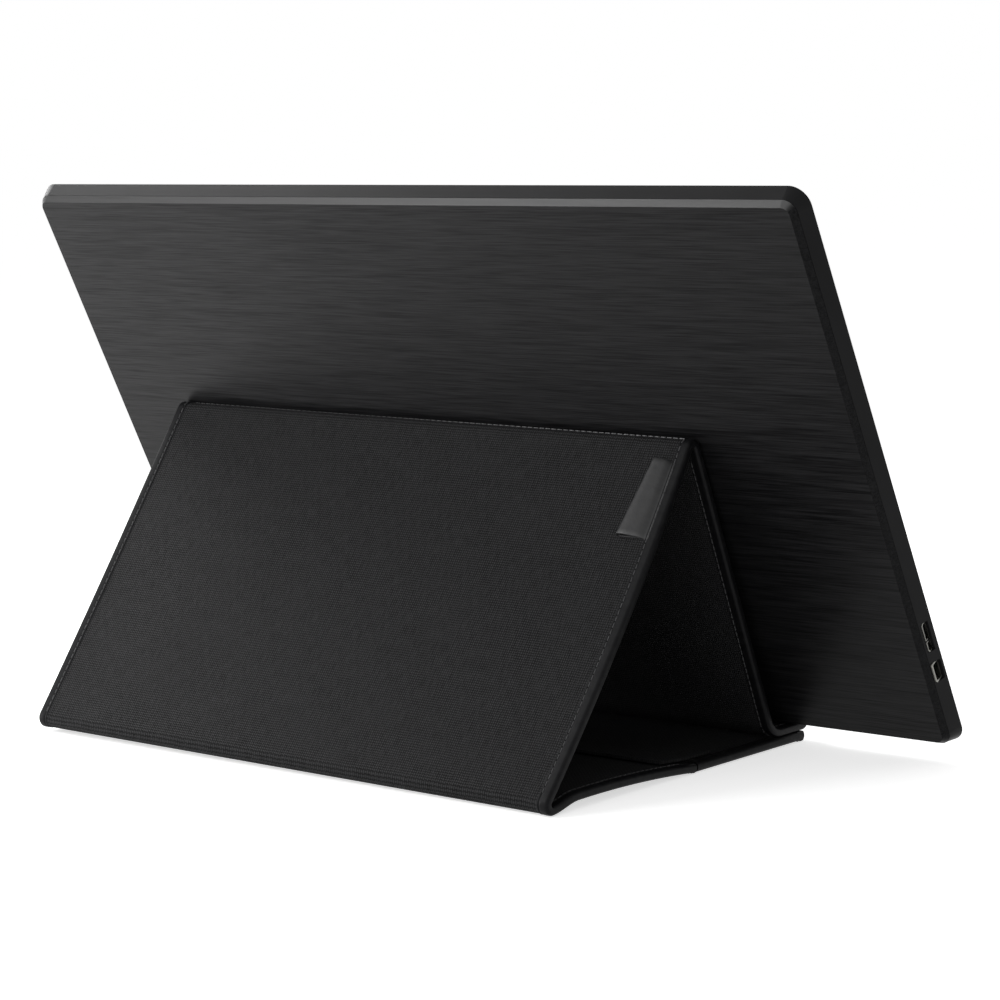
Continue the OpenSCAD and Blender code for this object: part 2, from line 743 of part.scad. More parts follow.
module base_panel_board() color([0.45, 0.42, 0.36]) difference() {
    panel_core(base_panel);
    at_magnets() cylinder(r = magnet_r + magnet_play, h = 2 * core_t, center = true);
}

module base_magnets() color(steel_col)
    at_magnets() cylinder(r = magnet_r, h = core_t - 2 * magnet_play, center = true);

module base_panel_bindings() color(binding_col) {
    panel_bindings(base_panel, 0);
    in_stand() across(cover_x0, cover_x1)
        layer(rear_fold, base_end, base_bow, base_len - binding_edge, 0, -bind_half, bind_half);
}

// Side view of the flap, with a rounded front end
module flap_outline() {
    polygon(concat(
        [[flap_rear, flap_t], [flap_rear, 0]],
        [for (i = [0 : bend_steps])
            [flap_front + flap_round - flap_round * sin(180 * i / bend_steps),
             flap_round - flap_round * cos(180 * i / bend_steps)]]));
}

module core_room(play) {
    translate([flap_front + flap_round + core_inset, flap_round - core_t / 2 - play])
        square([flap_rear - flap_front - flap_round - 2 * core_inset, core_t + 2 * play]);
}

module base_flap_cloth() color(cloth_col) in_stand() across(lining_x0, lining_x1) difference() {
    flap_outline();
    core_room(0);
}

module base_flap_board() color([0.45, 0.42, 0.36]) in_stand()
    across(lining_x0, lining_x1) core_room(0);

module base_flap_bindings() color(binding_col) in_stand() {
    across(cover_x0, lining_x0) flap_outline();
    across(lining_x1, cover_x1) flap_outline();
}

// Side view of a keeper plate, in the middle of the tongue over the magnets
module keeper_room(play) {
    part = (base_end[0] + magnet_back - tongue_heel[0]) / tongue_run[0];
    translate(tongue_heel + part * tongue_run + [0, tongue_t / 2])
        rotate(atan2(tongue_run[1], tongue_run[0]))
            square([keeper_len + 2 * play, keeper_t + 2 * play], center = true);
}

module keepers(play) {
    for (i = [0 : magnet_count - 1])
        across(magnet_x(i) - keeper_w / 2 - play, magnet_x(i) + keeper_w / 2 + play)
            keeper_room(play);
}

// Strip sewn on the flap, which slopes up over the arched base panel
module closing_tongue() color(lining_col) in_stand() difference() {
    across(cover_x0, cover_x1) polygon([
        tongue_heel - [tongue_seat, 0], tongue_heel, tongue_tip, tongue_tip + [0, tongue_t],
        tongue_heel + [0, tongue_t], tongue_heel + [-tongue_seat, tongue_t]]);
    keepers(magnet_play);
}

module keeper_plates() color(steel_col) in_stand() keepers(0);

// The lip runs forward, bends up and stands parallel to the screen. e counts
// outwards from the middle of its thickness, rise is the height of its wall.
function lip_line(e, start, rise) = concat(
    [[-start, front_fold[1] - e]],
    [for (i = [0 : bend_steps]) let (a = -90 + (90 + lean) * i / bend_steps)
        bend_mid + (bend_r + e) * [-cos(a), sin(a)]],
    [bend_mid + (bend_r + e) * to_viewer + rise * up_screen]);
function reversed(list) = [for (i = [len(list) - 1 : -1 : 0]) list[i]];

module lip_layer(e0, e1, start, rise) {
    polygon(concat(lip_line(e0, start, rise), reversed(lip_line(e1, start, rise))));
}

module lip_cloth() color(cloth_col) in_stand() across(lining_x0, lining_x1)
    lip_layer(0, cloth_half, front_cut, lip_rise - binding_edge);

module lip_lining() color(lining_col) in_stand() across(lining_x0, lining_x1)
    lip_layer(-cloth_half, 0, front_cut, lip_rise - binding_edge);

module lip_bindings() color(binding_col) in_stand() difference() {
    union() {
        for (x = [cover_x0, cover_x1 - binding_w])
            across(x, x + binding_w) lip_layer(-bind_half, bind_half, front_cut, lip_rise);
        across(cover_x0, cover_x1) polygon([
            for (c = [[-1, 0], [1, 0], [1, 1], [-1, 1]])
                bend_mid + (bend_r + c[0] * bind_half) * to_viewer
                    + (lip_rise - binding_edge * c[1]) * up_screen]);
    }
    across(lining_x0, lining_x1)
        lip_layer(-cloth_half, cloth_half, front_cut - 1, lip_rise - binding_edge);
}

// Leather strip folded over into a loop, its two ends sewn under the binding
module leather_tag() color([0.26, 0.26, 0.27]) {
    ends = [for (s = [tag_drop, tag_drop + tag_len])
        panel_point(apex, rear_fold, rear_bow, s / rear_len, -cloth_half)];
    out = -inward(unit(ends[1] - ends[0]));
    in_stand() translate([cover_x0 + binding_w, ends[1][0], ends[1][1]])
        rotate([atan2(out[1], out[0]), 0, 0]) linear_extrude(tag_len) tag_profile();
}

// Loop seen along the cover's edge: flat on the cloth, rounded at its inner end
module tag_profile() {
    r = tag_rise / 2;
    difference() {
        union() {
            polygon([[0, 0], [tag_reach - r, 0], [tag_reach - r, tag_rise], [0, 2 * tag_t]]);
            translate([tag_reach - r, r]) circle(r);
        }
        polygon([[2 * tag_t, tag_t], [tag_reach - r, tag_t],
            [tag_reach - r, tag_rise - tag_t], [2 * tag_t, tag_t + seam_gap]]);
        translate([tag_reach - r, r]) circle(r - tag_t);
    }
}

rear_cover();
front_bezel();
lcd_cell();
foam_gasket();
optical_sheets();
light_guide();
led_strip();
panel_tray();
driver_board();
panel_cable();
main_board();
board_chips();
shield_can();
usb_receptacle();
usb_tongue();
lock_slot_liner();
button_board();
key_switches();
button_cable();
power_light();
tray_screws();
board_screws();
power_button();
brighter_button();
dimmer_button();
base_flap_cloth();
base_flap_board();
base_flap_bindings();
closing_tongue();
keeper_plates();
lip_cloth();
lip_lining();
lip_bindings();
front_fold_roll();
front_panel_cloth();
front_panel_board();
front_panel_lining();
front_panel_bindings();
top_fold_roll();
rear_panel_cloth();
rear_panel_board();
rear_panel_lining();
rear_panel_bindings();
rear_fold_roll();
leather_tag();
base_panel_cloth();
base_panel_board();
base_panel_lining();
base_panel_bindings();
base_magnets();
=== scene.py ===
import json
import math

import bmesh
import bpy
from mathutils import Matrix, Vector, noise


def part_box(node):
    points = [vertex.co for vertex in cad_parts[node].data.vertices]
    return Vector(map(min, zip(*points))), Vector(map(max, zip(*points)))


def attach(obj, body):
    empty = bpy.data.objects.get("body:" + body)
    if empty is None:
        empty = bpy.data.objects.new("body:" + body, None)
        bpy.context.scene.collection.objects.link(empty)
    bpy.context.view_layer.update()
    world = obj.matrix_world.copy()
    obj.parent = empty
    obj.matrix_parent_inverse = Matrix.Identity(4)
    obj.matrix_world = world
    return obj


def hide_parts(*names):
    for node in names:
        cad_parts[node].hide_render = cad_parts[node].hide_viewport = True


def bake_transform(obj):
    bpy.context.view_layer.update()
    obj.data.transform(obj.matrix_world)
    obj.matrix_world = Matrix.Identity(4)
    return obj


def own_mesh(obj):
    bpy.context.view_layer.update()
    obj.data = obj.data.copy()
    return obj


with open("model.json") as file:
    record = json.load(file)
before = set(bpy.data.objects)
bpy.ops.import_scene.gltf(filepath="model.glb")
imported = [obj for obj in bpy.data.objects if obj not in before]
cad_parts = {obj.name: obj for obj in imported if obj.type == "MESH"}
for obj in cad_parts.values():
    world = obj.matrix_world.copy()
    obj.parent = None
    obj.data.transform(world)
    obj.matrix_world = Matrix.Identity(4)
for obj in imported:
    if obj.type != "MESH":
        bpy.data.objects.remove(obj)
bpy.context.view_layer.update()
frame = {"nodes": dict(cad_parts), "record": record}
print("frame loaded:", len(frame["nodes"]), "CAD nodes")

mm = 0.001


# colours are written as sRGB hex and turned to linear here
def linear(hexValue):
    parts = [int(hexValue[i:i + 2], 16) / 255 for i in (1, 3, 5)]
    return tuple(p / 12.92 if p <= 0.04045 else ((p + 0.055) / 1.055) ** 2.4 for p in parts) + (1.0,)


# adds one node, sets its settings and sockets, and links what is given as a socket
# a socket is named with _ for each space, or as i and its number where two share a name
def addNode(material, kind, settings=None, **sockets):
    node = material.node_tree.nodes.new(kind)
    for key, value in (settings or {}).items():
        setattr(node, key, value)
    for key, value in sockets.items():
        numbered = key[0] == "i" and key[1:].isdigit()
        socket = node.inputs[int(key[1:]) if numbered else key.replace("_", " ")]
        if isinstance(value, bpy.types.NodeSocket):
            material.node_tree.links.new(value, socket)
        else:
            socket.default_value = value
    return node


def newMaterial(name):
    material = bpy.data.materials.new(name)
    material.use_nodes = True
    material.node_tree.nodes.clear()
    return material


def surfaced(material, **shader):
    surface = addNode(material, "ShaderNodeBsdfPrincipled", **shader)
    addNode(material, "ShaderNodeOutputMaterial", Surface=surface.outputs[0])
    return material


# a pattern that is read from the object itself; size is its grain in millimetres along each axis
def patternOn(material, kind, size, settings=None, **sockets):
    coords = addNode(material, "ShaderNodeTexCoord")
    scaled = addNode(material, "ShaderNodeMapping", Vector=coords.outputs["Object"],
                     Scale=[1 / (length * mm) for length in size])
    return addNode(material, kind, settings, Vector=scaled.outputs[0], Scale=1.0, **sockets)


# part of a pattern's height that most of it lies in
usual = (0.3, 0.7)


# colour, roughness and relief of a surface, all from one pattern
# shades = (dark, light, lowest, highest height), gloss = the same for roughness, relief = (strength, mm)
def drivenBy(material, height, shades, gloss, relief=None, tint=None):
    dark, light, *span = shades
    low, high = span or usual
    share = addNode(material, "ShaderNodeMapRange", Value=tint or height, From_Min=low, From_Max=high)
    colour = addNode(material, "ShaderNodeMix", {"data_type": "RGBA"}, Factor=share.outputs[0],
                     i6=linear(dark), i7=linear(light))
    lowGloss, highGloss, *span = gloss
    low, high = span or usual
    rough = addNode(material, "ShaderNodeMapRange", Value=height, From_Min=low, From_Max=high,
                    To_Min=lowGloss, To_Max=highGloss)
    sockets = {"Base_Color": colour.outputs[2], "Roughness": rough.outputs[0]}
    if relief:
        strength, depth = relief
        bump = addNode(material, "ShaderNodeBump", Strength=strength, Distance=depth * mm, Height=height)
        sockets["Normal"] = bump.outputs[0]
    return sockets


# moulded cover with a brushed, satin lacquer: long fine streaks along the width that catch the light
def brushedLacquer():
    finish = {
        "dark": "#0b0b0c", "light": "#1a1a1b",
        "fine": (22, 0.42, 0.42), "broad": (66, 2.1, 2.1),      # streaks in mm
        "broadShare": 0.25,
        "span": (0.36, 0.64),           # height of the streaks
        "roughness": (0.32, 0.48),
        "streakShine": (0.72, 1.28),    # how much a streak dims or lifts the shine
        "relief": (0.25, 0.05),
        # shine by facing: painted highlight on upward faces, painted shade on the sides
        "backShine": 0.125, "paintedTopShine": 0.55, "paintedSideShade": 0.04,
        "upwards": 0.25, "smoothFrom": 0.1, "sideways": (0.5, 0.9),     # parts of the normal
    }
    low, high = finish["span"]
    material = newMaterial("brushedLacquer")

    # the top and its chamfer are smooth; the shine is set by which way a face points: a painted highlight on
    # the top and its chamfer, painted shade on the sides, and the brushed back in between
    facing = addNode(material, "ShaderNodeNewGeometry").outputs["Normal"]
    parts = addNode(material, "ShaderNodeSeparateXYZ", Vector=facing)
    edge = addNode(material, "ShaderNodeMapRange", Value=parts.outputs["Z"], From_Max=finish["upwards"],
                   To_Min=finish["backShine"], To_Max=finish["paintedTopShine"])
    sideways = addNode(material, "ShaderNodeMath", {"operation": "ABSOLUTE"}, i0=parts.outputs["X"])
    side = addNode(material, "ShaderNodeMapRange", Value=sideways.outputs[0],
                   From_Min=finish["sideways"][0], From_Max=finish["sideways"][1])
    shine = addNode(material, "ShaderNodeMix", Factor=side.outputs[0], A=edge.outputs[0],
                    B=finish["paintedSideShade"])

    fine = patternOn(material, "ShaderNodeTexNoise", finish["fine"], Detail=2.0, Roughness=0.6)
    broad = patternOn(material, "ShaderNodeTexNoise", finish["broad"], Detail=2.0, Roughness=0.5)
    both = addNode(material, "ShaderNodeMix", Factor=finish["broadShare"], A=fine.outputs[0],
                   B=broad.outputs[0]).outputs[0]
    streaks = addNode(material, "ShaderNodeMapRange", Value=both, From_Min=low, From_Max=high,
                      To_Min=finish["streakShine"][0], To_Max=finish["streakShine"][1])
    smooth = addNode(material, "ShaderNodeMapRange", Value=parts.outputs["Z"], From_Max=finish["smoothFrom"])
    streaks = addNode(material, "ShaderNodeMix", Factor=smooth.outputs[0], A=streaks.outputs[0], B=1.0)
    shine = addNode(material, "ShaderNodeMath", {"operation": "MULTIPLY"}, i0=shine.outputs[0],
                    i1=streaks.outputs[0])
    return surfaced(material, IOR=1.5, Specular_IOR_Level=shine.outputs[0],
                    **drivenBy(material, both, (finish["dark"], finish["light"], low, high),
                               (*finish["roughness"], low, high), finish["relief"]))


# moulded polycarbonate with a fine spark-eroded grain, matt and even
def mouldedPlastic(name, dark, light, roughness=0.5, grain=0.5, shine=0.5):
    cloud, swing = 30, 0.06
    material = newMaterial(name)
    grains = patternOn(material, "ShaderNodeTexNoise", (grain, grain, grain), Detail=2.0).outputs[0]
    clouds = patternOn(material, "ShaderNodeTexNoise", (cloud, cloud, cloud), Detail=2.0).outputs[0]
    return surfaced(material, IOR=1.5, Specular_IOR_Level=shine,
                    **drivenBy(material, grains, (dark, light), (roughness - swing, roughness + swing),
                               (0.15, 0.02), tint=clouds))


# switched-off liquid crystal screen behind an etched anti-glare film: nearly black, with a fine haze
def antiGlareScreen():
    material = newMaterial("antiGlareScreen")
    haze = patternOn(material, "ShaderNodeTexNoise", (0.4, 0.4, 0.4), Detail=1.0).outputs[0]
    return surfaced(material, IOR=1.52, Specular_IOR_Level=0.22,
                    **drivenBy(material, haze, ("#0b0b0d", "#101013"), (0.24, 0.32), (0.05, 0.01)))


# stamped or plated sheet metal: rolling lines along the width
def sheetMetal(name, dark, light, roughness=0.35, line=0.3):
    swing = 0.08
    material = newMaterial(name)
    lines = patternOn(material, "ShaderNodeTexNoise", (12, line, line), Detail=2.0).outputs[0]
    return surfaced(material, Metallic=1.0,
                    **drivenBy(material, lines, (dark, light), (roughness - swing, roughness + swing),
                               (0.1, 0.01)))


# glass fibre board under solder mask: green gloss with the copper tracks showing through
def solderMask():
    material = newMaterial("solderMask")
    tracks = patternOn(material, "ShaderNodeTexVoronoi", (2.4, 2.4, 2.4), {"distance": "CHEBYCHEV"})
    return surfaced(material, IOR=1.5,
                    **drivenBy(material, tracks.outputs["Distance"], ("#0f4a2c", "#1f6b42", 0.25, 0.35),
                               (0.3, 0.4), (0.2, 0.03)))


# closed cell foam: tiny round pores, quite matt
def cellFoam():
    material = newMaterial("cellFoam")
    pores = patternOn(material, "ShaderNodeTexVoronoi", (0.35, 0.35, 0.35)).outputs["Distance"]
    return surfaced(material, IOR=1.45,
                    **drivenBy(material, pores, ("#0c0c0c", "#202020", 0.1, 0.6), (0.85, 0.95), (0.6, 0.1)))


# clear cast acrylic with its field of printed dots, slightly blue
def clearAcrylic():
    material = newMaterial("clearAcrylic")
    dots = patternOn(material, "ShaderNodeTexVoronoi", (0.8, 0.8, 0.8)).outputs["Distance"]
    return surfaced(material, IOR=1.49, Transmission_Weight=0.85,
                    **drivenBy(material, dots, ("#d6e4ea", "#eef5f7", 0.2, 0.5), (0.08, 0.2)))


# pressed grey board: short fibres in every direction
def pressedBoard():
    material = newMaterial("pressedBoard")
    fibres = patternOn(material, "ShaderNodeTexNoise", (1.5, 0.5, 0.5), Detail=4.0, Distortion=1.5)
    return surfaced(material, IOR=1.45,
                    **drivenBy(material, fibres.outputs[0], ("#6d665b", "#8d8577"), (0.8, 0.92), (0.3, 0.05)))


# plain woven polyester: over and under threads, read from the piece's own map in metres; the colour runs from
# painted shade in the gaps to a painted highlight on the raised threads
# the real threads are 0.5 mm apart, too fine to show, so they are drawn 1 mm apart
def wovenPolyester(name, paintedGapShade, thread, top, pitch=1.0):
    weave = {
        "wobble": (220.0, 0.0004),      # scale, and metres that a thread wanders
        "spunLength": 5,                # mm
        "spunShare": 0.22, "crossShare": 0.5,
        "slubs": (45.0, 0.4, 0.7, 0.2),     # scale, lowest and highest height, share at the highest
        "roughness": (0.78, 0.64), "relief": (1.0, 0.3), "shine": 0.12,
    }
    pitch = pitch * mm
    material = newMaterial(name)
    coords = addNode(material, "ShaderNodeTexCoord").outputs["UV"]
    wobble = addNode(material, "ShaderNodeTexNoise", Vector=coords, Scale=weave["wobble"][0], Detail=1.0)
    wander = weave["wobble"][1]
    moved = addNode(material, "ShaderNodeVectorMath", {"operation": "MULTIPLY_ADD"},
                    i0=wobble.outputs["Color"], i1=(wander, wander, 0.0), i2=coords).outputs[0]
    scale = 1 / pitch * 2 * math.pi / 20       # a wave repeats every 20 / (2 pi scale)
    weft, warp = (addNode(material, "ShaderNodeTexWave",
                          {"wave_type": "BANDS", "wave_profile": "SIN", "bands_direction": direction},
                          Vector=moved, Scale=scale).outputs["Fac"] for direction in ("Y", "X"))
    over = addNode(material, "ShaderNodeTexChecker", Vector=moved, Scale=1 / pitch).outputs["Fac"]
    height = addNode(material, "ShaderNodeMix", Factor=over, A=warp, B=weft).outputs[0]
    cross = addNode(material, "ShaderNodeMath", {"operation": "MULTIPLY"}, i0=warp, i1=weft).outputs[0]
    relief = addNode(material, "ShaderNodeMix", Factor=weave["crossShare"], A=height, B=cross).outputs[0]

    # each thread is spun a little thicker or thinner than its neighbours
    long = addNode(material, "ShaderNodeMapping", Vector=coords,
                   Scale=(1 / pitch, 1 / (weave["spunLength"] * mm), 1)).outputs[0]
    spun = addNode(material, "ShaderNodeTexNoise", Vector=long, Scale=1.0, Detail=2.0).outputs[0]
    uneven = addNode(material, "ShaderNodeMapRange", Value=spun, From_Min=usual[0], From_Max=usual[1])
    relief = addNode(material, "ShaderNodeMix", Factor=weave["spunShare"], A=relief,
                     B=uneven.outputs[0]).outputs[0]

    # slubs lie on top and catch dust
    slubScale, slubLow, slubHigh, slubShare = weave["slubs"]
    slubs = addNode(material, "ShaderNodeTexNoise", Vector=coords, Scale=slubScale, Detail=3.0).outputs[0]
    worn = addNode(material, "ShaderNodeMapRange", Value=slubs, From_Min=slubLow, From_Max=slubHigh,
                   To_Max=slubShare)
    # painted shade in the low gaps and painted highlight on the raised threads, from the relief's height
    sockets = drivenBy(material, relief, (paintedGapShade, thread, 0.1, 0.7), weave["roughness"], weave["relief"])
    sockets["Base_Color"] = addNode(material, "ShaderNodeMix", {"data_type": "RGBA"},
                                    Factor=worn.outputs[0], i6=sockets["Base_Color"],
                                    i7=linear(top)).outputs[2]
    return surfaced(material, IOR=1.45, Specular_IOR_Level=weave["shine"], **sockets)


# coated tape or hide: fine pebbled grain, a few creases and a dull gloss
def pebbledLeather(name, dark, light, grain=0.9, roughness=0.45, shine=0.35, relief=0.3):
    creaseShare = 0.4
    material = newMaterial(name)
    pebbles = patternOn(material, "ShaderNodeTexVoronoi", (grain, grain, grain), {"feature": "SMOOTH_F1"})
    creases = patternOn(material, "ShaderNodeTexNoise", (9, 3, 3), Detail=4.0).outputs[0]
    both = addNode(material, "ShaderNodeMix", Factor=creaseShare, A=pebbles.outputs["Distance"],
                   B=creases).outputs[0]
    return surfaced(material, IOR=1.48, Specular_IOR_Level=shine,
                    **drivenBy(material, both, (dark, light), (roughness + 0.1, roughness - 0.05, 0.1, 0.6),
                               (relief, 0.08), tint=creases))


# twisted polyester thread: slanted strands with a soft sheen
def twistedThread(name, dark, light):
    material = newMaterial(name)
    strands = patternOn(material, "ShaderNodeTexWave", (2.4, 2.4, 2.4), {"bands_direction": "DIAGONAL"},
                        Distortion=0.4)
    return surfaced(material, IOR=1.5, Sheen_Weight=0.2,
                    **drivenBy(material, strands.outputs["Fac"], (dark, light, 0.1, 0.9),
                               (0.6, 0.75, 0, 1), (0.4, 0.08)))


print("materials")
lacquer = brushedLacquer()
bezelPlastic = mouldedPlastic("mouldedBezel", "#0d0d0e", "#151516", 0.4, 0.45, 0.1)
keyPlastic = mouldedPlastic("mouldedKeys", "#121213", "#1b1b1d", 0.5, 0.5, 0.3)
epoxyBlack = mouldedPlastic("mouldedEpoxy", "#141415", "#1c1c1d", 0.6, 0.3)
creamPlastic = mouldedPlastic("mouldedCream", "#b9b4a4", "#c9c4b5", 0.45)
diffuserFilm = mouldedPlastic("diffuserFilm", "#e4e4e0", "#efefec", 0.55, 0.8)
phosphorCoat = mouldedPlastic("phosphorCoat", "#dcd6a8", "#ece7c2", 0.5, 0.3)
amberFilm = mouldedPlastic("amberFilm", "#7c4f1d", "#96662b", 0.35, 1.2)
screenFilm = antiGlareScreen()
trayMetal = sheetMetal("galvanisedSheet", "#8e9091", "#b4b6b7", 0.4)
screwMetal = sheetMetal("zincedScrew", "#7e8184", "#a4a8ab", 0.35, 0.2)
shellMetal = sheetMetal("nickelledShell", "#6f6e6a", "#96958f", 0.32, 0.2)
# the first two colours of each cloth are painted shade in the gaps and painted highlight on the threads
outerCloth = wovenPolyester("wovenPolyester", "#030303", "#2f2f30", "#29292a")
liningCloth = wovenPolyester("wovenLining", "#070707", "#2a2a2b", "#262627", 0.9)
tape = pebbledLeather("pebbledTape", "#08080a", "#131314", 0.9, 0.48, 0.1)
tagHide = pebbledLeather("tagLeather", "#0e0e0f", "#1d1d1e", 1.1, 0.42, 0.42, 0.7)
darkThread = twistedThread("darkThread", "#151516", "#333335")
paleThread = twistedThread("paleThread", "#5c5c5d", "#8a8a8b")

nodeFinish = {
    "rear_cover": lacquer, "front_bezel": bezelPlastic, "lcd_cell": screenFilm,
    "power_button": keyPlastic, "brighter_button": keyPlastic, "dimmer_button": keyPlastic,
    "foam_gasket": cellFoam(), "optical_sheets": diffuserFilm, "light_guide": clearAcrylic(),
    "led_strip": phosphorCoat, "panel_tray": trayMetal, "shield_can": trayMetal,
    "driver_board": solderMask(), "panel_cable": amberFilm, "board_chips": epoxyBlack,
    "usb_receptacle": shellMetal, "usb_tongue": epoxyBlack, "lock_slot_liner": shellMetal,
    "key_switches": creamPlastic, "button_cable": amberFilm,
    "tray_screws": screwMetal, "board_screws": screwMetal, "keeper_plates": trayMetal,
    "base_magnets": shellMetal, "base_flap_board": pressedBoard(),
}
board = nodeFinish["base_flap_board"]
nodeFinish["power_light"] = nodeFinish["light_guide"]
for name in ("main_board", "button_board"):
    nodeFinish[name] = nodeFinish["driver_board"]
for name in ("front_panel_board", "rear_panel_board", "base_panel_board"):
    nodeFinish[name] = board
for name, finish in nodeFinish.items():
    mesh = frame["nodes"][name].data
    mesh.materials.clear()
    mesh.materials.append(finish)


joints = {j["name"]: j for j in frame["record"]["behaviour"]["joints"]}
frontFold, topFold, rearFold = (Vector(joints[n]["pos_m"]) for n in ("front_fold", "top_fold", "rear_fold"))
flapLow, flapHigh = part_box("base_flap_bindings")
lipLow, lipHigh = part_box("lip_bindings")
tongueLow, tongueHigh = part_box("closing_tongue")
coverLow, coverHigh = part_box("top_fold_roll")[0].x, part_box("top_fold_roll")[1].x

cover = {
    "thick": 3.0 * mm,       # cloth, board and lining together
    "topLoop": 2.4 * mm,     # radius of the middle line in the top fold
    "rearLoop": 2.3 * mm,
    "frontRise": 1.0 * mm,   # how far the front panel stands off its fold, towards the monitor
    "swell": 15 * mm,        # length over which the base panel swells towards its fold
    "baseBow": 1.5 * mm,
    "baseEnd": (-0.6 * mm, 1.8 * mm),   # end of its middle line: past its board, above the table
    "lipBend": 2.4 * mm,     # radius of the lip's bend, at its middle line
    "lipInset": 1.8 * mm,    # from the lip's front to its middle line
    "lipTop": 0.9 * mm,      # from the middle line's end to the lip's top
    "frontBend": 8.0 * mm,   # radius where the lip turns up into the front panel
    "lean": math.radians(26.5),
    "loopSteps": 14, "rearSteps": 72, "frontSteps": 56, "baseSteps": 42,
    "wallSteps": 5, "bendSteps": 9, "floorSteps": 8,
}
rearCut = 9     # the rear fold's arc belongs to the rear panel up to this step
baseEnd = Vector((0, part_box("base_panel_board")[0].y + cover["baseEnd"][0], cover["baseEnd"][1]))
# the real cover is a little twisted, so its two ends differ: shifts of the folds, and the rear panel's sag
nearEnd = {"top": (0.6 * mm, -0.4 * mm), "rear": (0, 0), "bow": 2.5 * mm}
farEnd = {"top": (0.6 * mm, 1.4 * mm), "rear": (-3 * mm, 1.4 * mm), "bow": 0.6 * mm}


# a line is a list of (point, outward direction) in the y-z plane
def outwardOf(direction):
    return Vector((0, -direction.z, direction.y)).normalized()


# outward direction of the straight line that touches two circles from outside
def touchingNormal(centreA, radiusA, centreB, radiusB):
    along = centreB - centreA
    k = (radiusA - radiusB) / along.length
    return outwardOf(along) * math.sqrt(1 - k * k) + along.normalized() * k


# a straight line whose middle sags inwards by bow
def straightLine(start, end, count, bow=0.0):
    out = outwardOf(end - start)
    line = []
    for i in range(count + 1):
        part = i / count
        line.append((start.lerp(end, part) - out * 4 * bow * part * (1 - part), out))
    return line


# a panel's line that leaves one fold at a given height and settles to nothing
def swellingLine(start, end, count, bow, rise):
    line = []
    for point, out in straightLine(start, end, count, bow):
        k = max(0.0, 1 - (point - start).length / cover["swell"])
        line.append((point + out * rise * k * k * (3 - 2 * k), out))
    return line


# turns round a fold from one outward direction to another, the short way
def foldLine(centre, radius, fromOut, toOut, count):
    a = math.atan2(fromOut.z, fromOut.y)
    b = math.atan2(toOut.z, toOut.y)
    turn = (b - a + math.pi) % (2 * math.pi) - math.pi
    line = []
    for i in range(count + 1):
        angle = a + turn * i / count
        out = Vector((0, math.cos(angle), math.sin(angle)))
        line.append((centre + out * radius, out))
    return line


# turns each outward direction square to the line, on the side it already points to
def smoothNormals(line):
    points = [p for p, _ in line]
    result = []
    for i, (point, out) in enumerate(line):
        ahead = points[min(i + 1, len(points) - 1)] - points[max(i - 1, 0)]
        normal = outwardOf(ahead)
        result.append((point, normal if normal.dot(out) > 0 else -normal))
    return result


upScreen = Vector((0, math.sin(cover["lean"]), math.cos(cover["lean"])))
toViewer = Vector((0, -math.cos(cover["lean"]), math.sin(cover["lean"])))
downwards = Vector((0, 0, -1))


# the middle lines of the cloth at one end of the cover
def coverLines(end):
    steps = cover["loopSteps"]
    loopCentre = topFold + Vector((0, *end["top"]))
    rearCentre = rearFold + Vector((0, *end["rear"]))
    # both panels touch the top fold's loop, the front one on the monitor's side
    frontOut = touchingNormal(frontFold, cover["frontRise"], loopCentre, cover["topLoop"])
    rearOut = touchingNormal(loopCentre, cover["topLoop"], rearCentre, cover["rearLoop"])
    topArc = foldLine(loopCentre, cover["topLoop"], frontOut, rearOut, steps)
    rearArc = foldLine(rearCentre, cover["rearLoop"], rearOut, outwardOf(baseEnd - rearCentre), steps)
    rear = topArc[:-1]
    rear += straightLine(topArc[-1][0], rearArc[0][0], cover["rearSteps"], end["bow"])[:-1]
    rear += rearArc[:rearCut + 1]
    base = rearArc[rearCut:-1]
    base += swellingLine(rearCentre, baseEnd, cover["baseSteps"], cover["baseBow"], cover["rearLoop"])

    # the lip's wall and its bend
    wallSteps, bendSteps, floorSteps = cover["wallSteps"], cover["bendSteps"], cover["floorSteps"]
    bendMid = Vector((0, lipLow.y + cover["lipBend"] + cover["lipInset"], frontFold.z + cover["lipBend"]))
    wallFoot = bendMid + toViewer * cover["lipBend"]
    wallLength = (lipHigh.z - wallFoot.z) / upScreen.z - cover["lipTop"]
    front = [(wallFoot + upScreen * wallLength * (1 - i / wallSteps), toViewer) for i in range(wallSteps)]
    front += foldLine(bendMid, cover["lipBend"], toViewer, downwards, bendSteps)

    # its floor, which turns up into the front panel where the two would meet
    frontEnd = topArc[0][0]
    frontAlong = Vector((0, frontOut.z, -frontOut.y))
    corner = frontEnd - frontAlong * (frontEnd.z - frontFold.z) / frontAlong.z
    tangent = cover["frontBend"] * math.tan(math.atan2(frontAlong.z, frontAlong.y) / 2)
    floorEnd = corner.y - tangent
    for i in range(1, floorSteps):
        y = bendMid.y + (floorEnd - bendMid.y) * i / floorSteps
        front.append((Vector((0, y, frontFold.z)), downwards))
    turnMid = Vector((0, floorEnd, frontFold.z + cover["frontBend"]))
    front += foldLine(turnMid, cover["frontBend"], downwards, -frontOut, bendSteps)
    lipRows = len(front)
    panel = straightLine(corner + frontAlong * tangent, frontEnd, cover["frontSteps"])[1:]
    front += [(p, -n) for p, n in panel]
    front = [(p, -n) for p, n in smoothNormals(front)]
    return smoothNormals(rear), smoothNormals(base), front, loopCentre, lipRows


nearLines, farLines = coverLines(nearEnd), coverLines(farEnd)
rearLine, baseLine, frontLine = ((nearLines[i], farLines[i]) for i in range(3))     # (near, far) end
loopCentres = nearLines[3], farLines[3]
lipRows = nearLines[4]


# degrees from which an edge looks sharp
sharpFrom = {"cloth": 50, "thread": 60, "tag": 45}


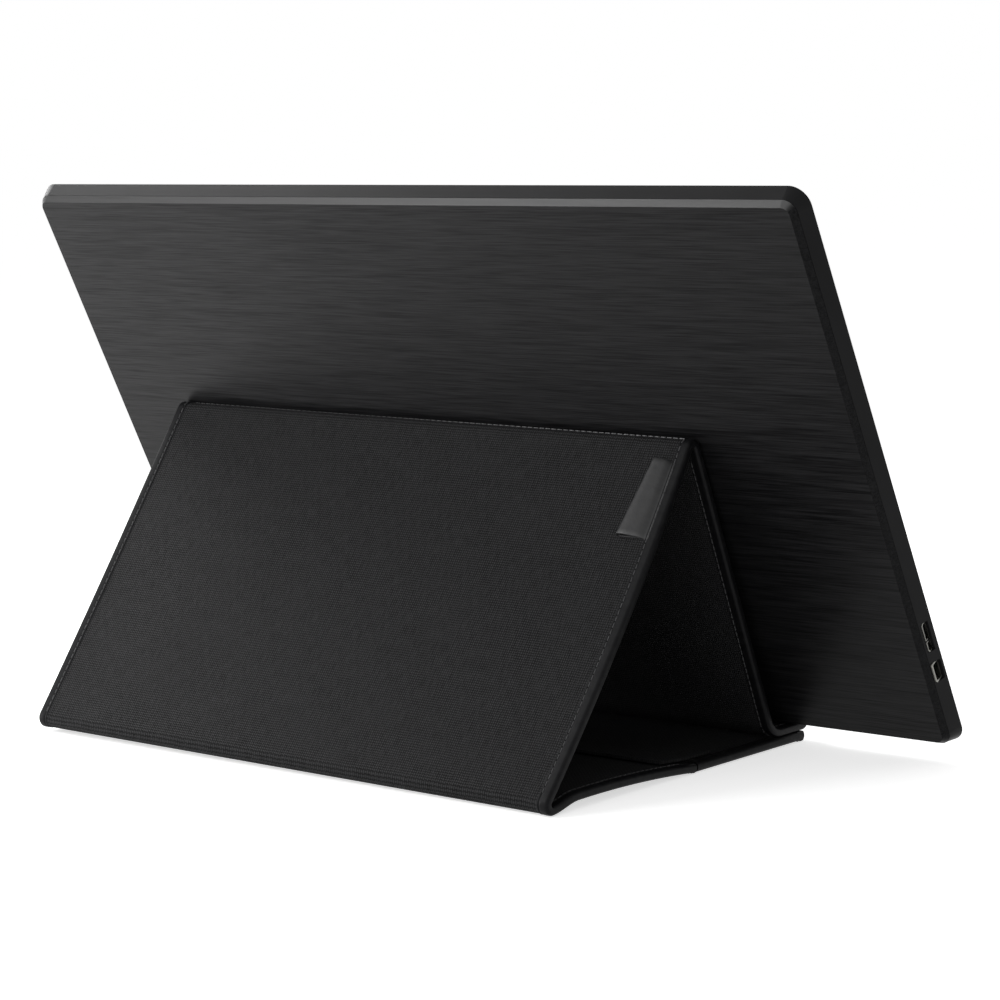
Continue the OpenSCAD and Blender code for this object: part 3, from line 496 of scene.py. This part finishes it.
def deselectAll():
    if bpy.context.object and bpy.context.object.mode != "OBJECT":
        bpy.ops.object.mode_set(mode="OBJECT")
    bpy.ops.object.select_all(action="DESELECT")


def applyAll(piece):
    deselectAll()
    piece.select_set(True)
    bpy.context.view_layer.objects.active = piece
    for modifier in list(piece.modifiers):
        bpy.ops.object.modifier_apply(modifier=modifier.name)


# gentle unevenness of stretched cloth: waves per metre across and along, and the small waves' share
waves = {"broad": (26, 34), "small": (90, 80), "smallShare": 0.35, "calmEdge": 9}


def ripple(x, along, seed):
    across, down = waves["broad"]
    broad = noise.noise(Vector((x * across + seed, along * down, seed)))
    across, down = waves["small"]
    small = noise.noise(Vector((x * across, along * down + seed, seed)))
    return broad + waves["smallShare"] * small


# a cloth sheet: a grid is bent along a line, mapped in metres, waved a little and given its thickness
# the first stillRows rows, which lie in a fold, stay even
def clothSheet(name, lines, low, high, thick, outer, inner, across=60, wave=0.0, seed=0.0, stillRows=0):
    line, farLine = lines
    deselectAll()
    bpy.ops.mesh.primitive_grid_add(x_subdivisions=across, y_subdivisions=len(line) - 1, size=1,
                                    calc_uvs=True)
    piece = bpy.context.object
    piece.name = piece.data.name = name
    lengths = [0.0]
    for a, b in zip(line, line[1:]):
        lengths.append(lengths[-1] + (b[0] - a[0]).length)
    rows = {}
    for vertex in piece.data.vertices:
        row = round((vertex.co.y + 0.5) * (len(line) - 1))
        u = vertex.co.x + 0.5
        x = low + (high - low) * u
        point = line[row][0].lerp(farLine[row][0], u)
        out = line[row][1].lerp(farLine[row][1], u).normalized()
        rows[vertex.index] = (x, lengths[row])
        # even along both tapes and in the fold
        calm = min(1.0, min(u, 1 - u) * waves["calmEdge"]) if row >= stillRows else 0.0
        vertex.co = Vector((x, point.y, point.z)) + out * wave * calm * ripple(x, lengths[row], seed)
    uvs = piece.data.uv_layers.active.data
    for loop in piece.data.loops:
        uvs[loop.index].uv = rows[loop.vertex_index]
    piece.data.materials.append(outer)
    piece.data.materials.append(inner)
    # the grid's faces have to look outwards before it gets its thickness
    middle = piece.data.polygons[len(piece.data.polygons) // 2]
    if middle.normal.dot(line[len(line) // 2][1]) < 0:
        piece.data.flip_normals()
    solid = piece.modifiers.new("thickness", "SOLIDIFY")
    solid.thickness = thick
    solid.offset = 0
    solid.use_even_offset = True
    solid.material_offset = 1
    solid.material_offset_rim = 0
    applyAll(piece)
    bpy.ops.object.shade_smooth_by_angle(angle=math.radians(sharpFrom["cloth"]))
    return piece


# sweeps a closed outline along frames of (origin, across, out): a disc is shaped, then extruded
def sweepOutline(name, outline, frames, finish):
    deselectAll()
    bpy.ops.mesh.primitive_circle_add(vertices=len(outline), radius=mm, fill_type="NGON")
    piece = bpy.context.object
    piece.name = piece.data.name = name
    bpy.ops.object.mode_set(mode="EDIT")
    bpy.ops.mesh.select_all(action="SELECT")
    shape = bmesh.from_edit_mesh(piece.data)
    spoke = shape.verts.layers.int.new("spoke")
    shape.faces.ensure_lookup_table()
    for index, vertex in enumerate(shape.faces[0].verts):
        vertex[spoke] = index
    for step, (origin, across, out) in enumerate(frames):
        if step:
            bpy.ops.mesh.extrude_region_move()
            shape = bmesh.from_edit_mesh(piece.data)
            spoke = shape.verts.layers.int["spoke"]
        for vertex in shape.verts:
            if vertex.select:
                a, n = outline[vertex[spoke]]
                vertex.co = origin + across * a + out * n
        bmesh.update_edit_mesh(piece.data)
    bpy.ops.mesh.select_all(action="SELECT")
    bpy.ops.mesh.normals_make_consistent(inside=False)
    bpy.ops.object.mode_set(mode="OBJECT")
    piece.data.attributes.remove(piece.data.attributes["spoke"])
    piece.data.materials.append(finish)
    bpy.ops.object.shade_smooth_by_angle(angle=math.radians(sharpFrom["cloth"]))
    return piece


def joinPieces(name, parts):
    deselectAll()
    for part in parts:
        part.select_set(True)
    bpy.context.view_layer.objects.active = parts[0]
    bpy.ops.object.join()
    piece = bpy.context.object
    piece.name = piece.data.name = name
    return piece


binding = {
    "width": 5.0 * mm, "half": 1.78 * mm, "inner": 1.62 * mm,   # half: the middle line to the outside
    "groove": 3.9 * mm, "corner": 1.2 * mm,
    "crossInset": 0.4 * mm, "crossSteps": 20,                   # tapes across a sheet's end
}


# the tape's outline, as (across, height): across is 0 at its rounded outer edge
def tapeOutline(half=binding["half"], inner=binding["inner"], corner=binding["corner"]):
    width, groove = binding["width"], binding["groove"]

    # from the sewn edge over the stitches' groove to the corner, flat as (across, share of the height)
    def side(height):
        flat = [(width, 0.72), (width - 0.1 * mm, 0.88), (width - 0.35 * mm, 0.97),
                (groove + 0.42 * mm, 0.96), (groove, thread["grooveHeight"]), (groove - 0.42 * mm, 0.96),
                (groove - 0.9 * mm, 1.0), (corner + 0.1 * mm, 1.0)]
        turn = [math.radians(d) for d in (75, 60, 45, 30, 15, 0)]
        return ([(a, k * height) for a, k in flat]
                + [(corner - corner * math.cos(d), height - corner + corner * math.sin(d)) for d in turn])
    return side(half) + [(a, -k) for a, k in reversed(side(inner))]


# frames for a tape along a side edge, and for one across a sheet's end
def tapeFrames(line, edgeX, side):
    return [(Vector((edgeX, p.y, p.z)), Vector((side, 0, 0)), n) for p, n in line]


def crossFrames(point, inwards, out):
    low, high = coverLow + binding["crossInset"], coverHigh - binding["crossInset"]
    steps = binding["crossSteps"]
    return [(Vector((low + (high - low) * i / steps, point.y, point.z)), inwards, out)
            for i in range(steps + 1)]


# both side tapes of a pair of lines, and a tape across the sheet at row endTape if wanted
def tapes(name, lines, endTape=None):
    line, farLine = lines
    parts = [sweepOutline(name + "Low", tapeOutline(), tapeFrames(line, coverLow, 1), tape),
             sweepOutline(name + "High", tapeOutline(), tapeFrames(farLine, coverHigh, -1), tape)]
    if endTape is not None:
        point, out = line[endTape]
        neighbour = line[endTape - 1 if endTape else 1][0]
        frames = crossFrames(point, (neighbour - point).normalized(), out)
        parts.append(sweepOutline(name + "End", tapeOutline(), frames, tape))
    return joinPieces(name, parts)


# one stitch: a short rod along X, whose ends are pinched and dip into the cloth; shares of its radius
stitchEnd = {"inset": 0.45, "reach": 0.5, "dip": 0.35}


def stitchShape(length, radius, finish):
    deselectAll()
    bpy.ops.mesh.primitive_cylinder_add(vertices=6, radius=radius, depth=length,
                                        rotation=(0, math.radians(90), 0))
    rod = bpy.context.object
    bpy.ops.object.transform_apply(location=True, rotation=True, scale=True)
    bpy.ops.object.mode_set(mode="EDIT")
    bpy.ops.mesh.select_all(action="DESELECT")
    shape = bmesh.from_edit_mesh(rod.data)
    for face in shape.faces:
        face.select = abs(face.normal.x) > 0.9
    bmesh.update_edit_mesh(rod.data)
    bpy.ops.mesh.inset(thickness=radius * stitchEnd["inset"])
    shape = bmesh.from_edit_mesh(rod.data)
    for face in shape.faces:
        if face.select:
            for vertex in face.verts:
                vertex.co.x += math.copysign(radius * stitchEnd["reach"], face.normal.x)
                vertex.co.z -= radius * stitchEnd["dip"]
    bmesh.update_edit_mesh(rod.data)
    bpy.ops.object.mode_set(mode="OBJECT")
    rod.data.materials.append(finish)
    bpy.ops.object.shade_smooth_by_angle(angle=math.radians(sharpFrom["thread"]))
    return rod


# one mesh of stitches, at places given as (point, along, out)
def stitchRow(name, template, places):
    parts = []
    for point, along, out in places:
        copy = template.copy()
        copy.data = template.data.copy()
        bpy.context.scene.collection.objects.link(copy)
        side = out.cross(along).normalized()
        up = along.cross(side).normalized()
        copy.matrix_world = Matrix((along.normalized(), side, up)).transposed().to_4x4()
        copy.matrix_world.translation = point
        parts.append(copy)
    piece = joinPieces(name, parts)
    bpy.ops.object.transform_apply(location=True, rotation=True, scale=True)
    return piece


# points at even distances along a line, with direction and outward normal
def walk(line, pitch, start, stop):
    places, travelled, want = [], 0.0, start
    for (p, n), (q, m) in zip(line, line[1:]):
        length = (q - p).length
        while want <= travelled + length and want <= stop:
            k = (want - travelled) / length
            places.append((p.lerp(q, k), (q - p).normalized(), n.lerp(m, k).normalized()))
            want += pitch
        travelled += length
    return places


def lineLength(line):
    return sum((b[0] - a[0]).length for a, b in zip(line, line[1:]))


thread = {
    "pitch": 2.7 * mm, "length": 1.8 * mm, "radius": 0.26 * mm, "sink": 0.06 * mm,
    "grooveHeight": 0.84,       # share of the tape's height
    "bulge": 0.6,               # share of the thread's radius above the groove
    "clear": {"rear": 4 * mm, "front": 6 * mm, "base": 5 * mm},     # no stitches at a sheet's ends
}


def tapeStitches(name, lines, skipEnds):
    template = stitchShape(thread["length"], thread["radius"], darkThread)
    places = []
    for line, x in zip(lines, (coverLow + binding["groove"], coverHigh - binding["groove"])):
        for point, along, out in walk(line, thread["pitch"], skipEnds, lineLength(line) - skipEnds):
            for sign, half in ((1, binding["half"]), (-1, binding["inner"])):
                height = half * thread["grooveHeight"] + thread["radius"] * thread["bulge"] - thread["sink"]
                places.append((Vector((x, point.y, point.z)) + out * sign * height, along, out * sign))
    piece = stitchRow(name, template, places)
    bpy.data.objects.remove(template)
    return piece


print("cover panels")
panels = {
    "tapeGap": 1.2 * mm,        # the cloth stops this far inside the tapes' outer edge
    "rear": {"across": 88, "wave": 0.35 * mm, "seed": 3.1, "stillRows": 16},
    "front": {"across": 60, "wave": 0.3 * mm, "seed": 7.7, "stillRows": lipRows},
    "base": {"across": 60, "wave": 0.15 * mm, "seed": 5.2, "stillRows": 12},
}
inLow, inHigh = coverLow + panels["tapeGap"], coverHigh - panels["tapeGap"]


# a sheet of cloth, board and lining that stands for the named CAD solids
def panelPiece(name, lines, values, *nodes):
    piece = clothSheet(name, lines, inLow, inHigh, cover["thick"], outerCloth, liningCloth, **values)
    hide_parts(*nodes)
    return piece


rearPanel = panelPiece("rearPanel", rearLine, panels["rear"], "rear_panel_cloth", "rear_panel_lining",
                       "top_fold_roll", "rear_fold_roll")
frontPanel = panelPiece("frontPanel", frontLine, panels["front"], "front_panel_cloth", "front_panel_lining",
                        "lip_cloth", "lip_lining", "front_fold_roll")
basePanel = panelPiece("basePanel", baseLine, panels["base"], "base_panel_cloth", "base_panel_lining")

# stiffening boards, which stop short of the folds so that these stay soft
print("boards")
boards = {
    "thick": 1.4 * mm, "side": 3 * mm, "across": 40,
    "foldRows": 6, "lipRows": 3, "endRows": 2,      # rows of the cloth that stay free of board
}


def boardPiece(name, lines, body, node, fromRow, toRow):
    rows = [line[fromRow:toRow] for line in lines]
    piece = clothSheet(name, rows, inLow + boards["side"], inHigh - boards["side"], boards["thick"],
                       board, board, across=boards["across"])
    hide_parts(node)
    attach(piece, body)


rearRows, frontRows, baseRows = (len(lines[0]) for lines in (rearLine, frontLine, baseLine))
boardPiece("rearBoard", rearLine, "rear_panel", "rear_panel_board",
           cover["loopSteps"] + boards["foldRows"], rearRows - rearCut - boards["foldRows"])
boardPiece("frontBoard", frontLine, "front_panel", "front_panel_board",
           lipRows + boards["lipRows"], frontRows - boards["foldRows"])
boardPiece("baseBoard", baseLine, "base_panel", "base_panel_board",
           cover["loopSteps"] - rearCut + boards["foldRows"], baseRows - boards["endRows"])


print("edge bindings")
rearTapes = tapes("rearTapes", rearLine)
frontTapes = tapes("frontTapes", frontLine, endTape=0)
baseTapes = tapes("baseTapes", baseLine, endTape=baseRows - 1)
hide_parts("rear_panel_bindings")
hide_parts("front_panel_bindings", "lip_bindings")
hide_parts("base_panel_bindings")

print("binding stitches")
rearStitches = tapeStitches("rearTapeStitches", rearLine, thread["clear"]["rear"])
frontStitches = tapeStitches("frontTapeStitches", frontLine, thread["clear"]["front"])
baseStitches = tapeStitches("baseTapeStitches", baseLine, thread["clear"]["base"])


print("top fold stitches")
topRow = {
    "inset": 6 * mm, "pitch": 2.9 * mm, "length": 2.0 * mm, "radius": 0.24 * mm, "lift": 0.1 * mm,
    "nearAngle": 96, "farAngle": 118,       # where the row lies on the loop, in degrees
    "steady": 0.625,                        # part of the width over which it drifts
}
template = stitchShape(topRow["length"], topRow["radius"], paleThread)
places = []
rowStart = coverLow + topRow["inset"]
count = int((coverHigh - topRow["inset"] - rowStart) / topRow["pitch"])
reach = cover["topLoop"] + cover["thick"] / 2 + topRow["lift"]
for i in range(count + 1):
    part = i / count
    centre = loopCentres[0].lerp(loopCentres[1], part)
    drift = min(1, part / topRow["steady"])
    angle = math.radians(topRow["nearAngle"] + (topRow["farAngle"] - topRow["nearAngle"]) * drift)
    out = Vector((0, math.cos(angle), math.sin(angle)))
    spot = Vector((rowStart + i * topRow["pitch"], centre.y, centre.z))
    places.append((spot + out * reach, Vector((1, 0, 0)), out))
topStitches = stitchRow("topFoldStitches", template, places)
bpy.data.objects.remove(template)

for piece in (rearPanel, rearTapes, rearStitches, topStitches):
    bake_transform(piece)
for piece in (frontPanel, frontTapes, frontStitches):
    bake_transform(piece)
for piece in (basePanel, baseTapes, baseStitches):
    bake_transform(piece)


print("flap and tongue")
flap = {
    "half": (flapHigh.z - flapLow.z) / 2, "front": flapLow.y, "rear": flapHigh.y,
    "thick": 3.4 * mm, "tuck": 1.4 * mm,        # tuck: the cloth stops this far inside the front tape
    "corner": 1.7 * mm, "steps": 34, "wave": 0.1 * mm, "seed": 9.4,
}
up = Vector((0, 0, 1))

# a flat panel on the table with the lining upwards, and tapes on three sides
flapEnd = flap["front"] + flap["tuck"]
flapLine = [(Vector((0, flap["rear"] + (flapEnd - flap["rear"]) * i / flap["steps"], flap["half"])), up)
            for i in range(flap["steps"] + 1)]
flapPanel = clothSheet("flapPanel", (flapLine, flapLine), inLow, inHigh, flap["thick"], liningCloth,
                       outerCloth, wave=flap["wave"], seed=flap["seed"])
flapOutline = tapeOutline(flap["half"], flap["half"], flap["corner"])
flapFrames = {
    "flapLow": tapeFrames(flapLine, coverLow, 1), "flapHigh": tapeFrames(flapLine, coverHigh, -1),
    "flapFront": crossFrames(Vector((0, flap["front"], flap["half"])), Vector((0, 1, 0)), up),
}
flapTapes = joinPieces("flapTapes", [sweepOutline(name, flapOutline, frames, tape)
                                     for name, frames in flapFrames.items()])
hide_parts("base_flap_cloth")
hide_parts("base_flap_bindings")

# the tongue lies on the base panel and runs down to the flap's rear edge
tongue = {
    "thick": 1.1 * mm, "side": 5.2 * mm, "steps": 8,
    "tipDrop": 0.9 * mm, "heelRise": 0.7 * mm,      # middle line against the CAD's top and the flap's
}
tongueTip = Vector((0, tongueHigh.y, tongueHigh.z - tongue["tipDrop"]))
tongueHeel = Vector((0, flap["rear"], flapHigh.z + tongue["heelRise"]))
tongueRoot = Vector((0, tongueLow.y, tongueHeel.z))
steps = tongue["steps"]
tongueLine = [(tongueRoot.lerp(tongueHeel, i / steps), up) for i in range(steps)]
tongueLine += [(tongueHeel.lerp(tongueTip, i / steps), up) for i in range(steps + 1)]
tongueLine = smoothNormals(tongueLine)
closingTongue = clothSheet("closingTongue", (tongueLine, tongueLine), coverLow + tongue["side"],
                           coverHigh - tongue["side"], tongue["thick"], liningCloth, liningCloth)
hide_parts("closing_tongue")
for piece in (flapPanel, flapTapes, closingTongue):
    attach(piece, "base")


# leather tag, folded over into a loop
print("leather tag")
tagLow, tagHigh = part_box("leather_tag")
tag = {
    "thick": 0.75 * mm, "rise": 3.0 * mm, "reach": tagHigh.x - tagLow.x,
    "tuck": 1.8 * mm, "seat": 0.95 * mm, "seatLength": 3.5 * mm,    # the sewn ends, under the tape
    "startShift": -1.9 * mm, "endShift": -5.1 * mm,     # the real tag sits a little nearer the top fold
    "diveCurve": 1.6, "upperDive": 1.5,     # how the sewn ends dive, and how much deeper the upper layer's
    "taper": 0.6, "lift": 0.1 * mm, "bevel": 0.2 * mm, "bevelFrom": 50,
    "lowerSteps": 10, "foldSteps": 9, "upperSteps": 14, "across": 16,
}


# section of the tag, as (across, height) from the tape's edge: lower layer, fold and upper layer
def tagSection():
    half = tag["thick"] / 2
    turn = tag["rise"] / 2 - half        # radius of the folded end
    bend = tag["reach"] - tag["rise"] / 2

    # the sewn ends dive under the tape: 1 at its edge, 0 a little further in
    def dive(a):
        return max(0.0, min(1.0, 1 - a / tag["seatLength"])) ** tag["diveCurve"]

    section = []
    for i in range(tag["lowerSteps"] + 1):
        a = -tag["tuck"] + (bend + tag["tuck"]) * i / tag["lowerSteps"]
        section.append((a, half - tag["seat"] * dive(a)))
    for i in range(1, tag["foldSteps"] + 1):
        angle = math.pi * i / (tag["foldSteps"] + 1)
        section.append((bend + turn * math.sin(angle), half + turn - turn * math.cos(angle)))
    for i in range(tag["upperSteps"] + 1):
        a = bend - (bend + tag["tuck"]) * i / tag["upperSteps"]
        k = max(0.0, min(1.0, a / bend))
        flat = half + tag["thick"] + (2 * turn - tag["thick"]) * k * k * (3 - 2 * k)
        section.append((a, flat - tag["seat"] * tag["upperDive"] * dive(a)))
    return section


# a grid is bent along the section, laid on the rear panel and narrowed towards its upper end
def leatherTag():
    along = (rearFold - topFold).normalized()
    rearOut = outwardOf(along)
    start = (Vector((0, tagLow.y, tagHigh.z)) - topFold).dot(along) + tag["startShift"]
    end = (Vector((0, tagHigh.y, tagLow.z)) - topFold).dot(along) + tag["endShift"]
    section = tagSection()
    deselectAll()
    bpy.ops.mesh.primitive_grid_add(x_subdivisions=tag["across"], y_subdivisions=len(section) - 1, size=1,
                                    calc_uvs=True)
    piece = bpy.context.object
    piece.name = piece.data.name = "leatherTag"
    length = (rearFold - topFold).length
    panel = rearLine[0][cover["loopSteps"] - 1:rearRows - rearCut]      # the rear panel's straight stretch
    for vertex in piece.data.vertices:
        part = vertex.co.x + 0.5
        a, height = section[round((vertex.co.y + 0.5) * (len(section) - 1))]
        spot = (start + (end - start) * part) / length * (len(panel) - 1)
        row = int(spot)
        base = panel[row][0].lerp(panel[row + 1][0], spot - row) + rearOut * (cover["thick"] / 2)
        if a > 0:
            a *= min(1.0, tag["taper"] + (1 - tag["taper"]) * part)
        vertex.co = Vector((tagLow.x + a, base.y, base.z)) + rearOut * (height + tag["lift"])
    piece.data.materials.append(tagHide)
    if piece.data.polygons[0].normal.dot(rearOut) > 0:
        piece.data.flip_normals()
    solid = piece.modifiers.new("thickness", "SOLIDIFY")
    solid.thickness, solid.offset, solid.use_even_offset = tag["thick"], 0, True
    bevel = piece.modifiers.new("edge", "BEVEL")
    bevel.width, bevel.segments = tag["bevel"], 2
    bevel.limit_method, bevel.angle_limit = "ANGLE", math.radians(tag["bevelFrom"])
    applyAll(piece)
    bpy.ops.object.shade_smooth_by_angle(angle=math.radians(sharpFrom["tag"]))
    return piece


leatherTagPiece = leatherTag()
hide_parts("leather_tag")
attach(leatherTagPiece, "rear_panel")
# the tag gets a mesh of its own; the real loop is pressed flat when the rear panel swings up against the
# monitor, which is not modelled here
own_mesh(leatherTagPiece)


print("stage")
stage = {
    "floor": "#f4f4f4", "size": 30, "drop": 0.2 * mm,       # metres across, and how far below the part
    "glow": 0.62, "world": 0.42,                            # strengths
}

# pale floor that the camera and reflections see brighter, so that it meets the background
deselectAll()
bpy.ops.mesh.primitive_plane_add(size=stage["size"], location=(0, 0, -stage["drop"]))
floor = bpy.context.object
floor.name = floor.data.name = "floor"
paper = newMaterial("paperFloor")
path = addNode(paper, "ShaderNodeLightPath")
seen = addNode(paper, "ShaderNodeMath", {"operation": "MAXIMUM"}, i0=path.outputs["Is Camera Ray"],
               i1=path.outputs["Is Glossy Ray"])
strength = addNode(paper, "ShaderNodeMath", {"operation": "MULTIPLY"}, i0=seen.outputs[0], i1=stage["glow"])
matt = addNode(paper, "ShaderNodeBsdfDiffuse", Color=linear(stage["floor"]))
glow = addNode(paper, "ShaderNodeEmission", Strength=strength.outputs[0])
both = addNode(paper, "ShaderNodeAddShader", i0=matt.outputs[0], i1=glow.outputs[0])
addNode(paper, "ShaderNodeOutputMaterial", Surface=both.outputs[0])
floor.data.materials.append(paper)

# soft grey light from all round, behind a background that looks white
world = bpy.data.worlds.new("studio")
bpy.context.scene.world = world
world.use_nodes = True
world.node_tree.nodes.clear()
path = addNode(world, "ShaderNodeLightPath")
bent = addNode(world, "ShaderNodeMath", {"operation": "MAXIMUM"}, i0=path.outputs["Is Glossy Ray"],
               i1=path.outputs["Is Transmission Ray"])
seen = addNode(world, "ShaderNodeMath", {"operation": "MAXIMUM"}, i0=path.outputs["Is Camera Ray"],
               i1=bent.outputs[0])
level = addNode(world, "ShaderNodeMapRange", Value=seen.outputs[0], To_Min=stage["world"], To_Max=1.0)
sky = addNode(world, "ShaderNodeBackground", Color=(1, 1, 1, 1), Strength=level.outputs[0])
addNode(world, "ShaderNodeOutputWorld", Surface=sky.outputs[0])

lamps = [  # name, place, aim, size, watts
    ("lowLeft", (0.62, 0.36, 0.10), (0.0, 0.0, 0.12), 0.22, 1.5),
    ("leftSoftbox", (0.47, 0.74, 0.60), (0.0, 0.0, 0.12), 0.4, 3.6),
    ("topSoftbox", (0.62, -0.17, 0.55), (0.1, 0.05, 0.2), 0.42, 5.2),
    ("rearFill", (-0.2, 1.4, 0.9), (0.0, 0.0, 0.1), 0.9, 4.0),
]
for name, place, aim, size, watts in lamps:
    data = bpy.data.lights.new(name, "AREA")
    data.energy, data.size = watts, size
    lamp = bpy.data.objects.new(name, data)
    bpy.context.scene.collection.objects.link(lamp)
    lamp.location = place
    lamp.rotation_euler = (Vector(aim) - Vector(place)).to_track_quat("-Z", "Y").to_euler()

# the photo's camera: place in metres, turn in degrees, lens and sensor in millimetres
view = {
    "place": (-0.780029, 0.909493, 0.248379), "turn": (82.70321, 1.08999, -140.68177),
    "lens": 111.2368, "sensor": 36, "near": 0.01, "far": 100,
}
cameraData = bpy.data.cameras.new("photoCamera")
cameraData.lens, cameraData.sensor_width = view["lens"], view["sensor"]
cameraData.clip_start, cameraData.clip_end = view["near"], view["far"]
camera = bpy.data.objects.new("photoCamera", cameraData)
bpy.context.scene.collection.objects.link(camera)
camera.location = view["place"]
camera.rotation_euler = [math.radians(a) for a in view["turn"]]
bpy.context.scene.camera = camera
bpy.context.scene.view_settings.view_transform = "Standard"
